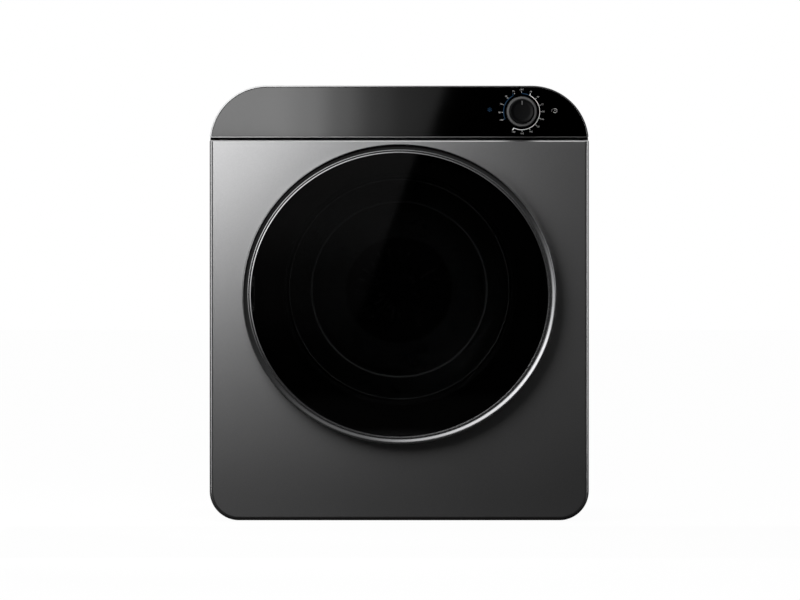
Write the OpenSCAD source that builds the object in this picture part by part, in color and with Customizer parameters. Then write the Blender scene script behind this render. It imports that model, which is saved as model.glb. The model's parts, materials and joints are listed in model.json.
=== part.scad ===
// Compact front-loading vented tumble dryer with an oval glass door.
// X is the width, +Y runs to the back and +Z is up. The origin is the middle of the floor print.

/* [Case] */
// Width over the side walls
cab_w = 595; // [575:1:640]
// Height of the case above its feet
cab_h = 682; // [660:1:740]
// Room between the shaft bracket and the rear panel
rear_room = 17.2; // [14:0.1:60]
// Radius of the two top corners
top_r = 90; // [60:1:110]
// Radius of the two bottom corners
bottom_r = 46; // [20:1:60]
// Thickness of the case's sheet steel
sheet_t = 0.8; // [0.6:0.1:1.6]
// Depth of the front panel's and control panel's side walls
skirt_d = 22; // [16:1:30]
// Width of the pressed step around the front panel
edge_w = 4.5; // [2:0.5:8]
// Depth of that step
edge_d = 2.2; // [1:0.1:4]
// Radius of the panels' small corners beside the seam
seam_r = 5; // [3:0.5:10]
// Depth of the flanges that join the inner plates to the case
flange_d = 12; // [8:1:20]
// Height that the feet stand proud of the case
foot_h = 2; // [1:0.5:12]
// Radius of a foot
foot_r = 20; // [12:1:24]
// Distance of the feet from the side walls
foot_side = 112.5; // [90:0.5:140]
// Distance of the feet from the ends of the base pan
foot_inset = 48; // [30:1:70]

/* [Control panel] */
// Height of the control panel
fascia_h = 82; // [70:1:100]
// Dark seam between the control panel and the front panel
fascia_gap = 3; // [1:0.5:5]
// Width of the pale rim around the black insert
rim_w = 3.2; // [2:0.1:6]
// Depth of the recess that holds the insert
insert_d = 2; // [1.5:0.1:3]
// Wall of the control panel's moulding
fascia_t = 2.5; // [2:0.1:4]
// Distance of the timer knob from the right side wall
knob_side = 105.5; // [90:0.5:140]
// Distance of the timer knob below the top
knob_drop = 41; // [34:1:50]
// Radius of the knob's skirt
knob_skirt_r = 24; // [20:0.5:28]
// Radius of the knob's cap
knob_cap_r = 19.6; // [14:0.1:20]
// How far the knob stands out
knob_d = 20; // [12:0.5:26]
// Radius of the timer's shaft
timer_shaft_r = 3; // [2.5:0.1:4]
// Width of the timer behind the knob
timer_w = 54; // [40:1:60]
// Depth of the timer
timer_d = 40; // [30:1:50]
// Height of the timer
timer_h = 48; // [36:1:54]

/* [Door] */
// How far the door reaches beyond the bowl's mouth, sideways
door_side_w = 69.5; // [64:0.5:76]
// How far the door reaches beyond the bowl's mouth, up and down
door_top_h = 58.5; // [54:0.5:68]
// Width of the ring seen from the front
ring_w = 12; // [9:0.5:18]
// Wall of the ring
ring_t = 2.4; // [1.8:0.1:3]
// How far the door stands out from the front panel
door_proud = 34; // [30:1:44]
// Gap between the door's back and the front panel
door_gap = 5; // [5:0.5:8]
// Height of the door's centre above the bottom of the case
door_up = 354.6; // [340:0.1:400]
// Thickness of the flat black glass
glass_t = 4; // [3:0.5:5]
// Radius of the glass bowl at its mouth
bowl_mouth_r = 176; // [165:1:180]
// How much narrower the glass bowl is at its base
bowl_taper = 37; // [28:1:60]
// Depth of the bowl behind the front panel's face
bowl_deep = 68; // [40:1:80]
// Thickness of the bowl
bowl_t = 4; // [3:0.5:6]
// Radius of the hinge pin
pin_r = 2.5; // [2:0.1:3]
// Half height of the hinge
hinge_half_h = 28; // [24:1:32]
// Half height of the finger recess
grip_half_h = 44; // [34:1:60]
// Height of the catch above the door's centre
catch_up = 74; // [68:1:90]
// Distance of the catch inside the door's edge
catch_in = 31.5; // [28:0.5:34]

/* [Drum] */
// Room between the drum and the side walls
side_room = 29.5; // [24:0.5:50]
// Length of the drum's shell
drum_len = 300; // [280:1:306]
// Sheet of the drum
drum_t = 0.7; // [0.5:0.1:1.5]
// Height of the drum's axis above the door's centre
drum_rise = 8; // [0:0.5:12]
// Gap between the glass bowl and the front bulkhead's collar
mouth_gap = 10; // [8:0.5:12]
// Length of that collar
collar_l = 19; // [14:1:22]
// Thickness of the felt that the drum runs on
felt_t = 4.7; // [3:0.1:6]
// Height of a lifter
lifter_h = 44; // [30:1:60]
// Width of a lifter at the drum
lifter_w = 66; // [50:1:90]
// Wall of a lifter
lifter_t = 2.5; // [2:0.1:4]
// Radius of a drum perforation
perf_r = 3.5; // [2:0.1:4]
// Radius of the filter's hole in the drum back
filter_hole_r = 75; // [60:1:85]
// Depth of the filter cover
filter_d = 14; // [10:1:20]
// Radius of the drum's shaft
shaft_r = 8; // [6:0.5:10]

/* [Drive] */
// Distance of the motor's axis from the right side wall
motor_side = 97.5; // [92:0.5:105]
// Height of the motor's axis above the bottom of the case
motor_up = 78; // [76:1:84]
// Radius of the motor's housing
motor_r = 55; // [45:1:58]
// Length of the motor's housing
motor_len = 86; // [70:1:92]
// Radius of the motor's shaft
motor_shaft_r = 5; // [4:0.5:6]
// Running radius of the pulley that drives the drum
motor_pulley_r = 6.5; // [6.5:0.5:10]
// Thickness of the belts
belt_t = 2; // [1.5:0.1:3]
// Width of the belts
belt_w = 8; // [6:0.5:9]
// Radius of the idler pulley
idler_r = 14; // [12:0.5:16]
// How far the idler presses the belt out
idler_push = 7; // [5:0.5:9]
// Radius of the fan's two belt pulleys
fan_pulley_r = 24; // [18:0.5:26]

/* [Air path] */
// Radius of the fan wheel
fan_r = 72; // [60:1:84]
// Number of the fan's blades
fan_blades = 24; // [12:1:32]
// Depth of the fan housing
house_d = 42; // [38:1:46]
// Wall of the fan housing
house_t = 2.5; // [2:0.1:4]
// Outer radius of the exhaust spigot
spigot_r = 50; // [40:1:52]
// How far the exhaust spigot stands out at the back
spigot_l = 36; // [25:1:60]
// Distance of the exhaust spigot from the left side wall
spigot_side = 152.5; // [138:0.5:160]
// Height of the exhaust spigot above the bottom of the case
spigot_up = 148; // [120:1:180]
// Room between the heater box and the side walls
heater_side = 147.5; // [130:0.5:190]
// Height of the heater box
heater_h = 104; // [80:1:120]

/* [Back] */
// Radius of the service opening
service_r = 150; // [130:1:155]
// Depth of the rear cover
cover_d = 12; // [8:1:24]
// Distance of the wall bracket holes from the side walls
wall_side = 62.5; // [58:0.5:80]
// Upward distance between the wall bracket holes
wall_z = 360; // [300:1:380]
// Radius of the wall bracket holes
wall_hole_r = 3.3; // [2:0.1:5]
// Bore of the cord gland
gland_r = 4.5; // [3:0.1:6]

/* [Hidden] */
$fn = 96;

// Running clearance between pieces that turn on each other, and the gap of seated pieces
run_gap = 0.08;
seat_gap = 0.3;
eps = 1;

// Levels and planes
half_w = cab_w / 2;
plate_gap = 4;
drum_gap = 25;
rear_gap = 10;
house_gap = 3;
bracket_gap = 7;
pulley_w = belt_w + 1;
drum_off = skirt_d + plate_gap + drum_gap;
rear_off = rear_gap + sheet_t + house_d + house_gap + pulley_w + bracket_gap;
cab_d = drum_off + drum_len + rear_off + rear_room;
case_top = foot_h + cab_h;
fascia_z = case_top - fascia_h;
panel_top = fascia_z - fascia_gap;
door_z = foot_h + door_up;
drum_z = door_z + drum_rise;
total_d = door_proud + cab_d + spigot_l;
face_y = -total_d / 2 + door_proud;
skirt_y = face_y + skirt_d;
back_y = face_y + cab_d;
bulk_y = skirt_y + plate_gap;
drum_y = face_y + drum_off;
drum_end = drum_y + drum_len;
back_plate_y = drum_end + rear_gap;
house_y = back_plate_y + sheet_t;
house_end = house_y + house_d;
pulley_y = house_end + house_gap;
bracket_y = pulley_y + pulley_w + bracket_gap;
pan_z = foot_h + sheet_t;
pan_top = pan_z + sheet_t;
pan_w = cab_w - 2 * bottom_r;
pan_h = 18;
pan_y0 = bulk_y + flange_d + seat_gap;
pan_y1 = back_y - flange_d - seat_gap;

// Door, mouth and drum sizes
door_rx = bowl_mouth_r + door_side_w;
door_rz = bowl_mouth_r + door_top_h;
bowl_base_r = bowl_mouth_r - bowl_taper;
mouth_r = bowl_mouth_r + mouth_gap;
catch_x = door_rx - catch_in;
reed_drop = 40;
reed_h = 30;
drum_r = half_w - side_room;

// Door planes, all in front of the face
ring_back = face_y - door_gap;
door_front = face_y - door_proud;
glass_y = door_front + 5.3;
frame_y = glass_y + glass_t + seat_gap;
hinge_x = -door_rx + 9.9;
hinge_y = face_y - 18;
knuckle_r = pin_r + 2.6;
knuckle_half_h = 12;
neck_t = 4;
panel_hole_r = mouth_r + 9;
hinge_screw_x = hinge_x + 21;
hinge_screw_z = 20;
screw_r = 2;
screw_head_r = 4;

// Knob
knob_x = half_w - knob_side;
knob_z = case_top - knob_drop;
insert_y = face_y + seat_gap;
knob_back = insert_y - 0.6;

// Drum and fan, with the drum back's perforations as [ring radius, count]
sleeve_r = shaft_r + 4;
bearing_r = shaft_r + 6;
fan_y0 = house_y + 5;
fan_y1 = house_end - house_t - 2;
perf_first = filter_hole_r + 40;
perf_step = (drum_r - perf_first - 41) / 4;
perf_rings = [for (i = [0:4]) [perf_first + i * perf_step, 20 + 6 * i]];
screen_rings = [[12, 6], [26, 12], [40, 18], [54, 24]];
press_gap = 0.02;

// Feet, heater, exhaust, wall bracket and cord gland
foot_x = half_w - foot_side;
spigot_x = half_w - spigot_side;
heater_half_w = half_w - heater_side;
wall_x = cab_w - 2 * wall_side;
bracket_half_h = 22;
heater_z = drum_z + fan_r + 50;
heater_y1 = back_y - flange_d - 4;
wall_mid_z = drum_z - 20;
gland_x = -wall_x / 2;
gland_z = foot_h + 62;
cover_screws = 8;

// Drive
motor_x = half_w - motor_side;
capacitor_x = motor_x - 130;
motor_foot_in = 50;
motor_foot_out = 42;
rotor_r = motor_r - 24;
motor_z = foot_h + motor_up;
motor_y1 = back_plate_y - 8;
motor_y0 = motor_y1 - motor_len;
boss_r = 20;
boss_l = 6;
belt_y = motor_y0 - 22;
idler_y0 = belt_y - 2;
idler_w = belt_w + 4;
arm_y = idler_y0 + idler_w + 1.5;
arm_t = 4;
plate_t = 3;
front_plate_y = motor_y0 - plate_t - 0.5;
shaft_front = idler_y0 - 2;
idler_axle_r = 4;
idler_pivot = [motor_x - 42, motor_z - 38];
idler_reach = 88;
arm_half_w = 6;

// Centre lines of the wheels as [x, z]
drum_c = [0, drum_z];
motor_c = [motor_x, motor_z];
low_run = tangent(drum_c, drum_r, motor_c, motor_pulley_r);
run_dir = (low_run[1] - low_run[0]) / norm(low_run[1] - low_run[0]);
run_side = [-run_dir[1], run_dir[0]];
idler_c = low_run[1] - run_dir * idler_reach + run_side * (idler_r - idler_push);
idler_dir = (idler_c - idler_pivot) / norm(idler_c - idler_pivot);
spring_x = (idler_c[0] + idler_pivot[0]) / 2;
spring_top = (idler_c[1] + idler_pivot[1]) / 2 - arm_half_w / abs(idler_dir[0]) - 4;

// Direction of the point where a belt leaves wheel a towards wheel b, both turning anticlockwise
function leave_angle(a, ra, b, rb) =
    let (d = b - a) atan2(d[1], d[0]) + asin((ra - rb) / norm(d)) - 90;

// Contact points of that belt on the two wheels
function tangent(a, ra, b, rb) =
    let (t = leave_angle(a, ra, b, rb), n = [cos(t), sin(t)])
    [a + n * ra, b + n * rb];

// A flat outline in X and Z, given depth along Y from y
module along_y(y, depth) {
    translate([0, y + depth, 0]) rotate([90, 0, 0]) linear_extrude(depth) children();
}

// A profile of [radius, y] turned about the Y direction through x and z
module turned(x, z) {
    translate([x, 0, z]) rotate([-90, 0, 0]) rotate_extrude() children();
}

// A round bar along Y
module bar_y(x, z, y, length, r) {
    translate([x, y, z]) rotate([-90, 0, 0]) cylinder(h = length, r = r);
}

// A tube along Y
module tube_y(x, z, y, length, outer, inner) {
    difference() {
        bar_y(x, z, y, length, outer);
        bar_y(x, z, y - eps, length + 2 * eps, inner);
    }
}

module rounded_rect(x0, z0, x1, z1, r) {
    translate([x0 + r, z0]) square([x1 - x0 - 2 * r, z1 - z0]);
    translate([x0, z0 + r]) square([x1 - x0, z1 - z0 - 2 * r]);
    for (x = [x0 + r, x1 - r], z = [z0 + r, z1 - r]) translate([x, z]) circle(r);
}

// The case's outline seen from the front, drawn in by inset
module case_outline(inset) {
    for (s = [-1, 1]) {
        translate([s * (half_w - bottom_r), foot_h + bottom_r]) circle(bottom_r - inset);
        translate([s * (half_w - top_r), case_top - top_r]) circle(top_r - inset);
    }
    translate([inset - half_w, foot_h + bottom_r])
        square([cab_w - 2 * inset, cab_h - bottom_r - top_r]);
    translate([bottom_r - half_w, foot_h + inset]) square([cab_w - 2 * bottom_r, bottom_r]);
    translate([top_r - half_w, case_top - top_r - eps])
        square([cab_w - 2 * top_r, top_r + eps - inset]);
}

module panel_outline(inset) {
    intersection() {
        case_outline(inset);
        rounded_rect(inset - half_w, -cab_h, half_w - inset, panel_top - inset, seam_r);
    }
}

module fascia_outline(inset) {
    intersection() {
        case_outline(inset);
        rounded_rect(inset - half_w, fascia_z + inset, half_w - inset, 2 * cab_h, seam_r);
    }
}

// The oval of the door, drawn in by inset
function oval(inset, n = 120) = [for (i = [0:n - 1])
    [(door_rx - inset) * cos(i * 360 / n), door_z + (door_rz - inset) * sin(i * 360 / n)]];

// Case

module cabinet_wrap() {
    color("#4b4b4e") difference() {
        along_y(skirt_y + seat_gap, cab_d - skirt_d - seat_gap) difference() {
            case_outline(0);
            case_outline(sheet_t);
        }
        translate([bottom_r + 30 - half_w, skirt_y - eps, foot_h - eps])
            cube([cab_w - 2 * bottom_r - 60, cab_d, 3 * eps + sheet_t]);
    }
}

module front_panel() {
    color("#5a5a5d") difference() {
        union() {
            along_y(face_y, edge_d + eps) panel_outline(edge_w);
            along_y(face_y + edge_d, skirt_d - edge_d) panel_outline(0);
        }
        along_y(face_y + sheet_t, skirt_d) panel_outline(edge_w + sheet_t);
        along_y(face_y + edge_d + sheet_t, skirt_d) panel_outline(sheet_t);
        bar_y(0, drum_z, face_y - eps, skirt_d, panel_hole_r);
        translate([hinge_x - neck_t / 2 - eps, face_y - eps, door_z - knuckle_half_h - eps])
            cube([neck_t + 2 * eps, 2 * eps + sheet_t, 2 * knuckle_half_h + 2 * eps]);
        translate([catch_x - 12, face_y - eps, door_z + catch_up - 6])
            cube([24, 2 * eps + sheet_t, 12]);
        for (s = [-1, 1])
            bar_y(hinge_screw_x, door_z + s * hinge_screw_z, face_y - eps, skirt_d, screw_r + 0.2);
    }
}

module fascia_frame() {
    color("#77777a") difference() {
        along_y(face_y, skirt_d) fascia_outline(0);
        along_y(face_y - eps, insert_d + eps) fascia_outline(rim_w);
        along_y(face_y + insert_d + fascia_t, skirt_d) fascia_outline(fascia_t);
        bar_y(knob_x, knob_z, face_y, skirt_d, timer_shaft_r + 1);
    }
}

module fascia_insert() {
    color("#0b0b0c") difference() {
        along_y(insert_y, insert_d - seat_gap) fascia_outline(rim_w + 0.2);
        bar_y(knob_x, knob_z, face_y - eps, skirt_d, timer_shaft_r + 1);
    }
}

module front_bulkhead() {
    fit = sheet_t + seat_gap;
    color("#b9bcbf") difference() {
        union() {
            along_y(bulk_y, flange_d) panel_outline(fit);
            bar_y(0, drum_z, bulk_y, sheet_t + collar_l, mouth_r + sheet_t);
        }
        difference() {
            along_y(bulk_y + sheet_t, flange_d) panel_outline(fit + sheet_t);
            bar_y(0, drum_z, bulk_y, sheet_t + collar_l, mouth_r + sheet_t);
        }
        bar_y(0, drum_z, bulk_y - eps, collar_l + 20, mouth_r);
    }
}

module drum_felt() {
    color("#8d8577") tube_y(0, drum_z, bulk_y + sheet_t + 6, collar_l - 7,
        mouth_r + sheet_t + felt_t, mouth_r + sheet_t);
}

module rear_bulkhead() {
    fit = sheet_t + seat_gap;
    color("#b9bcbf") difference() {
        along_y(back_plate_y, flange_d) case_outline(fit);
        along_y(back_plate_y + sheet_t, flange_d) case_outline(fit + sheet_t);
        bar_y(0, drum_z, back_plate_y - eps, 4, filter_hole_r + 5);
        bar_y(motor_x, motor_z, back_plate_y - eps, 4, motor_shaft_r + 7);
        translate([16 - heater_half_w, back_plate_y - eps, heater_z + 22])
            cube([2 * heater_half_w - 32, 4, 50]);
        translate([-pan_w / 2 - seat_gap, back_plate_y - eps, 0])
            cube([pan_w + 2 * seat_gap, flange_d + 2 * eps, pan_z + pan_h + seat_gap]);
    }
}

module rear_seal() {
    color("#8d8577") tube_y(0, drum_z, drum_end + sheet_t + 1, back_plate_y - drum_end - sheet_t - 1,
        drum_r - 4, drum_r - 12);
}

module base_pan() {
    color("#9fa2a5") difference() {
        translate([-pan_w / 2, pan_y0, pan_z]) cube([pan_w, pan_y1 - pan_y0, pan_h]);
        translate([sheet_t - pan_w / 2, pan_y0 + sheet_t, pan_top])
            cube([pan_w - 2 * sheet_t, pan_y1 - pan_y0 - 2 * sheet_t, pan_h]);
        foot_places() translate([0, 0, -eps]) cylinder(h = 3 * eps + pan_top, r = 6);
    }
}

module foot_places() {
    for (x = [-foot_x, foot_x], y = [pan_y0 + foot_inset, pan_y1 - foot_inset])
        translate([x, y, 0]) children();
}

module feet() {
    color("#1b1b1c") foot_places() {
        cylinder(h = pan_z, r = foot_r);
        cylinder(h = pan_top + 4, r = 5.9);
    }
}

// Motor and belts

module motor_housing() {
    color("#6f7276") difference() {
        union() {
            bar_y(motor_x, motor_z, motor_y0, motor_len, motor_r);
            bar_y(motor_x, motor_z, motor_y0 - boss_l, motor_len + 2 * boss_l, boss_r - seat_gap);
        }
        bar_y(motor_x, motor_z, motor_y0 + 6, motor_len - 12, rotor_r + 1);
        bar_y(motor_x, motor_z, motor_y0 - 20, motor_len + 40, motor_shaft_r + run_gap);
        for (a = [0:30:330]) translate([motor_x, 0, motor_z]) rotate([0, a, 0])
            bar_y(motor_r - 14, 0, motor_y0 - eps, 5, 4);
    }
}

module motor_bracket() {
    top = motor_z + boss_r + 8;
    color("#8b8e92") difference() {
        union() {
            translate([motor_x - motor_foot_in, front_plate_y, pan_top])
                cube([motor_foot_in + motor_foot_out, motor_len + 2 * plate_t + 1, plate_t]);
            for (y = [front_plate_y, motor_y1 + 0.5])
                translate([motor_x - motor_foot_in, y, pan_top])
                    cube([motor_foot_in + 30, plate_t, top - pan_top]);
            bar_y(idler_pivot[0], idler_pivot[1], arm_y - 2, front_plate_y - arm_y + 2 + eps,
                idler_axle_r);
        }
        bar_y(motor_x, motor_z, front_plate_y - eps, motor_len + 20, boss_r);
    }
}

// The closed line of a belt that runs anticlockwise round wheels given as [centre, radius]
function belt_line(wheels, extra) =
    let (n = len(wheels),
         leave = [for (i = [0:n - 1]) let (a = wheels[i], b = wheels[(i + 1) % n])
             leave_angle(a[0], a[1], b[0], b[1])])
    [for (i = [0:n - 1])
        let (from = leave[(i + n - 1) % n], sweep = (leave[i] - from + 2 * 360) % 360,
             steps = ceil(sweep / 3) + 1)
        for (k = [0:steps])
            let (t = from + sweep * k / steps)
            wheels[i][0] + (wheels[i][1] + extra) * [cos(t), sin(t)]];

module belt(wheels, y, width) {
    along_y(y, width) difference() {
        polygon(belt_line(wheels, seat_gap + belt_t));
        polygon(belt_line(wheels, seat_gap));
    }
}

module drum_belt() {
    color("#232325")
        belt([[drum_c, drum_r], [idler_c, idler_r], [motor_c, motor_pulley_r]], belt_y, belt_w);
}

module fan_belt() {
    color("#232325") belt([[drum_c, fan_pulley_r], [motor_c, fan_pulley_r]],
        pulley_y + (pulley_w - belt_w) / 2, belt_w);
}

module motor_rotor() {
    color("#c3c6c9") {
        bar_y(motor_x, motor_z, shaft_front, pulley_y + pulley_w + 3 - shaft_front, motor_shaft_r);
        bar_y(motor_x, motor_z, motor_y0 + 10, motor_len - 20, rotor_r);
    }
}

module motor_pulley() {
    color("#a7aaad") difference() {
        union() {
            bar_y(motor_x, motor_z, idler_y0, idler_w, motor_pulley_r);
            for (y = [idler_y0, idler_y0 + idler_w - 1.5])
                bar_y(motor_x, motor_z, y, 1.5, motor_pulley_r + 3);
        }
        bar_y(motor_x, motor_z, idler_y0 - eps, idler_w + 2 * eps, motor_shaft_r + press_gap);
    }
}

// A belt pulley with two rims
module rimmed_pulley(x, z, bore) {
    difference() {
        union() {
            bar_y(x, z, pulley_y, pulley_w, fan_pulley_r);
            for (y = [pulley_y - 1.2, pulley_y + pulley_w])
                bar_y(x, z, y, 1.2, fan_pulley_r + 3);
        }
        bar_y(x, z, pulley_y - 2 * eps, pulley_w + 4 * eps, bore);
    }
}

module fan_drive_pulley() {
    color("#2c2c2e") rimmed_pulley(motor_x, motor_z, motor_shaft_r + press_gap);
}

module fan_wheel() {
    color("#3a3a3d") difference() {
        union() {
            bar_y(0, drum_z, fan_y0 + 4, pulley_y + pulley_w - fan_y0 - 4, sleeve_r);
            bar_y(0, drum_z, fan_y1 - 2, 2, fan_r);
            tube_y(0, drum_z, fan_y0, 2, fan_r, fan_r - 18);
            for (i = [0:fan_blades - 1]) translate([0, 0, drum_z]) rotate([0, i * 360 / fan_blades, 0])
                translate([fan_r - 17, fan_y0 + 1, -0.8]) cube([16, fan_y1 - fan_y0 - 2, 1.6]);
        }
        bar_y(0, drum_z, fan_y0 - eps, cab_d, shaft_r + run_gap);
    }
}

module fan_pulley() {
    color("#2c2c2e") rimmed_pulley(0, drum_z, sleeve_r + press_gap);
}

module idler_arm() {
    color("#9a9da1") {
        difference() {
            along_y(arm_y, arm_t) {
                translate(idler_pivot) circle(9);
                translate(idler_c) circle(8);
                n = [-idler_dir[1], idler_dir[0]] * arm_half_w;
                polygon([idler_pivot + n, idler_c + n, idler_c - n, idler_pivot - n]);
            }
            bar_y(idler_pivot[0], idler_pivot[1], arm_y - eps, arm_t + 2 * eps,
                idler_axle_r + run_gap);
        }
        bar_y(idler_c[0], idler_c[1], idler_y0 - 1, arm_y - idler_y0 + 2, idler_axle_r);
    }
}

module idler_pulley() {
    color("#d8d6cf") tube_y(idler_c[0], idler_c[1], idler_y0, idler_w, idler_r,
        idler_axle_r + run_gap);
}

module idler_spring() {
    color("#c9ccd0") translate([spring_x, arm_y + arm_t / 2, pan_top]) difference() {
        cylinder(h = spring_top - pan_top, r = 3.5);
        translate([0, 0, 4]) cylinder(h = spring_top, r = 2.3);
    }
}

// Drum

module drum_shell() {
    color("#c8cacc") tube_y(0, drum_z, drum_y, drum_len, drum_r, drum_r - drum_t);
}

module drum_front() {
    rim = drum_r - drum_t - 0.2;
    throat = mouth_r + sheet_t + felt_t + seat_gap;
    color("#c8cacc") turned(0, drum_z) polygon([
        [rim, drum_y + 14], [rim, drum_y], [throat + 14, bulk_y + 17], [throat + drum_t, bulk_y + 14],
        [throat + drum_t, bulk_y + 5], [throat, bulk_y + 5], [throat, bulk_y + 15],
        [throat + 14, bulk_y + 17 + drum_t], [rim - drum_t, drum_y + drum_t],
        [rim - drum_t, drum_y + 14]]);
}

module drum_back() {
    rim = drum_r - drum_t - 0.2;
    color("#c8cacc") difference() {
        bar_y(0, drum_z, drum_end - 14, 14, rim);
        bar_y(0, drum_z, drum_end - 14 - eps, 14 + eps - drum_t, rim - drum_t);
        bar_y(0, drum_z, drum_end - 3, 6, filter_hole_r);
        for (p = perf_rings, i = [0:p[1] - 1]) {
            a = i * 360 / p[1];
            bar_y(p[0] * cos(a), drum_z + p[0] * sin(a), drum_end - 3, 6, perf_r);
        }
    }
}

module lifter(angle) {
    seat = drum_r - drum_t - 0.2;
    root = seat - 8;
    top = seat - lifter_h;
    color("#3b3d40") translate([0, 0, drum_z]) rotate([0, -angle, 0]) difference() {
        intersection() {
            along_y(drum_y + 20, drum_len - 40) polygon([
                [seat + 4, lifter_w / 2], [root, lifter_w / 2 - 4], [top, 9], [top, -9],
                [root, 4 - lifter_w / 2], [seat + 4, -lifter_w / 2]]);
            bar_y(0, 0, drum_y, drum_len, seat);
        }
        along_y(drum_y + 20 + lifter_t, drum_len - 40 - 2 * lifter_t) polygon([
            [seat + 9, lifter_w / 2 - lifter_t - 1], [root, lifter_w / 2 - 4 - lifter_t - 1],
            [top + lifter_t, 9 - lifter_t], [top + lifter_t, lifter_t - 9],
            [root, 5 + lifter_t - lifter_w / 2], [seat + 9, 1 + lifter_t - lifter_w / 2]]);
    }
}

module lifter_1() { lifter(90); }
module lifter_2() { lifter(210); }
module lifter_3() { lifter(330); }

module drum_spider() {
    color("#84878b") {
        bar_y(0, drum_z, drum_end, 12, sleeve_r + 6);
        bar_y(0, drum_z, drum_end, bracket_y + 10 - drum_end, shaft_r);
        for (a = [30, 150, 270]) translate([0, 0, drum_z]) rotate([0, -a, 0])
            translate([0, drum_end, -14]) cube([drum_r - 24, 4, 28]);
    }
}

module filter_cover() {
    r = filter_hole_r + 12;
    y = drum_end - drum_t - 0.2 - filter_d;
    color("#56585b") difference() {
        turned(0, drum_z) polygon([
            [0, y - 4], [12, y - 3], [r - 10, y], [r, y + 5], [r, y + filter_d],
            [r - 2.5, y + filter_d], [r - 2.5, y + 6], [r - 11, y + 2.5], [12, y - 0.5],
            [0, y - 1.5]]);
        for (i = [0:23]) translate([0, 0, drum_z]) rotate([0, i * 15, 0])
            translate([24, y - 8, -2]) cube([r - 40, 14, 4]);
    }
}

module filter_screen() {
    y = drum_end - drum_t - 0.2 - filter_d;
    r = filter_hole_r - 0.3;
    color("#a9abad") difference() {
        union() {
            tube_y(0, drum_z, y + 3.6, drum_end - y - 3.6, r, r - 3);
            bar_y(0, drum_z, drum_end - 2.5, 1, r - 1);
        }
        for (p = screen_rings, i = [0:p[1] - 1]) {
            a = i * 360 / p[1];
            bar_y(p[0] * cos(a), drum_z + p[0] * sin(a), drum_end - 5, 6, 4.2);
        }
    }
}

// Door

// A closed section of [inset, y] points carried round the door's oval
module oval_sweep(section, n) {
    m = len(section);
    pts = [for (i = [0:n - 1], p = section)
        [(door_rx - p[0]) * cos(i * 360 / n), p[1], door_z + (door_rz - p[0]) * sin(i * 360 / n)]];
    faces = [for (i = [0:n - 1], k = [0:m - 1])
        let (a = i * m + k, b = i * m + (k + 1) % m,
             c = ((i + 1) % n) * m + (k + 1) % m, d = ((i + 1) % n) * m + k)
        each [[a, b, c], [a, c, d]]];
    polyhedron(pts, faces);
}

module grip_space(x0) {
    translate([x0, frame_y + 2.6, door_z - grip_half_h])
        cube([door_rx - x0 + 5, door_proud, 2 * grip_half_h]);
}

module door_ring() {
    f = door_front;
    color("#a0a1a3") difference() {
        oval_sweep([
            [0, ring_back], [0, f + 9], [1.2, f + 4.5], [4, f + 1.2], [ring_w - 4.5, f],
            [ring_w - 1.2, f + 1.2], [ring_w, f + 3], [ring_w, f + 5], [ring_t, f + 5],
            [ring_t, ring_back]], 72);
        translate([-door_rx - 5, f + 6, door_z - knuckle_half_h - 1.5])
            cube([14, door_proud, 2 * knuckle_half_h + 3]);
        grip_space(catch_x + 8);
    }
}

module door_glass() {
    color("#101012") along_y(glass_y, glass_t) polygon(oval(ring_t + 3.2));
}

module door_frame() {
    inset = ring_t + seat_gap;
    wall_r = bowl_mouth_r + 5;
    grip_x = catch_x + 8;
    color("#1d1d1f") difference() {
        along_y(frame_y, ring_back - frame_y) difference() {
            polygon(oval(inset));
            translate([0, drum_z]) circle(wall_r);
        }
        difference() {
            along_y(frame_y - eps, ring_back - frame_y + eps - 2.5) difference() {
                polygon(oval(inset + 4));
                translate([0, drum_z]) circle(wall_r + 4);
            }
            translate([grip_x - 3, frame_y - 5, door_z - grip_half_h - 3])
                cube([60, door_proud, 2 * grip_half_h + 6]);
            translate([hinge_x - 20, frame_y - 5, door_z - hinge_half_h - 4])
                cube([33, door_proud, 2 * hinge_half_h + 8]);
        }
        grip_space(grip_x);
        translate([hinge_x - 20, frame_y - eps, door_z - hinge_half_h - 1])
            cube([30.3, door_proud, 2 * hinge_half_h + 2]);
    }
}

module door_bowl() {
    base = face_y + bowl_deep;
    rim = ring_back + 2.5;
    r = bowl_mouth_r;
    color([0.75, 0.8, 0.82, 0.4]) turned(0, drum_z) polygon([
        [0, base], [bowl_base_r - 8, base], [bowl_base_r - 2, base - 2], [bowl_base_r, base - 7],
        [r, rim], [r + 12, rim], [r + 12, ring_back], [r - bowl_t, ring_back],
        [bowl_base_r - bowl_t - 1, base - 8], [bowl_base_r - 10, base - bowl_t],
        [0, base - bowl_t]]);
}

module door_seal() {
    color("#2a2a2b") turned(0, drum_z) polygon([
        [bowl_mouth_r + 13, ring_back], [bowl_mouth_r + 28, ring_back],
        [bowl_mouth_r + 28, ring_back + 2], [bowl_mouth_r + 25, face_y - 0.4],
        [bowl_mouth_r + 19.5, face_y - 0.4], [bowl_mouth_r + 17, ring_back + 2.4],
        [bowl_mouth_r + 13, ring_back + 2.4]]);
}

module hinge_bracket() {
    color("#b4b7ba") translate([0, 0, door_z]) difference() {
        union() {
            translate([hinge_x, hinge_y, -knuckle_half_h])
                cylinder(h = 2 * knuckle_half_h, r = knuckle_r);
            translate([hinge_x - neck_t / 2, hinge_y + pin_r, -knuckle_half_h])
                cube([neck_t, face_y + sheet_t + seat_gap + 2 - hinge_y - pin_r, 2 * knuckle_half_h]);
            translate([hinge_x - neck_t / 2, face_y + sheet_t, -hinge_half_h])
                cube([34, 2.3, 2 * hinge_half_h]);
        }
        translate([hinge_x, hinge_y, -hinge_half_h]) cylinder(h = 2 * hinge_half_h, r = pin_r + run_gap);
        for (s = [-1, 1])
            bar_y(hinge_screw_x, s * hinge_screw_z, face_y, skirt_d, screw_r + 0.05);
    }
}

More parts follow.
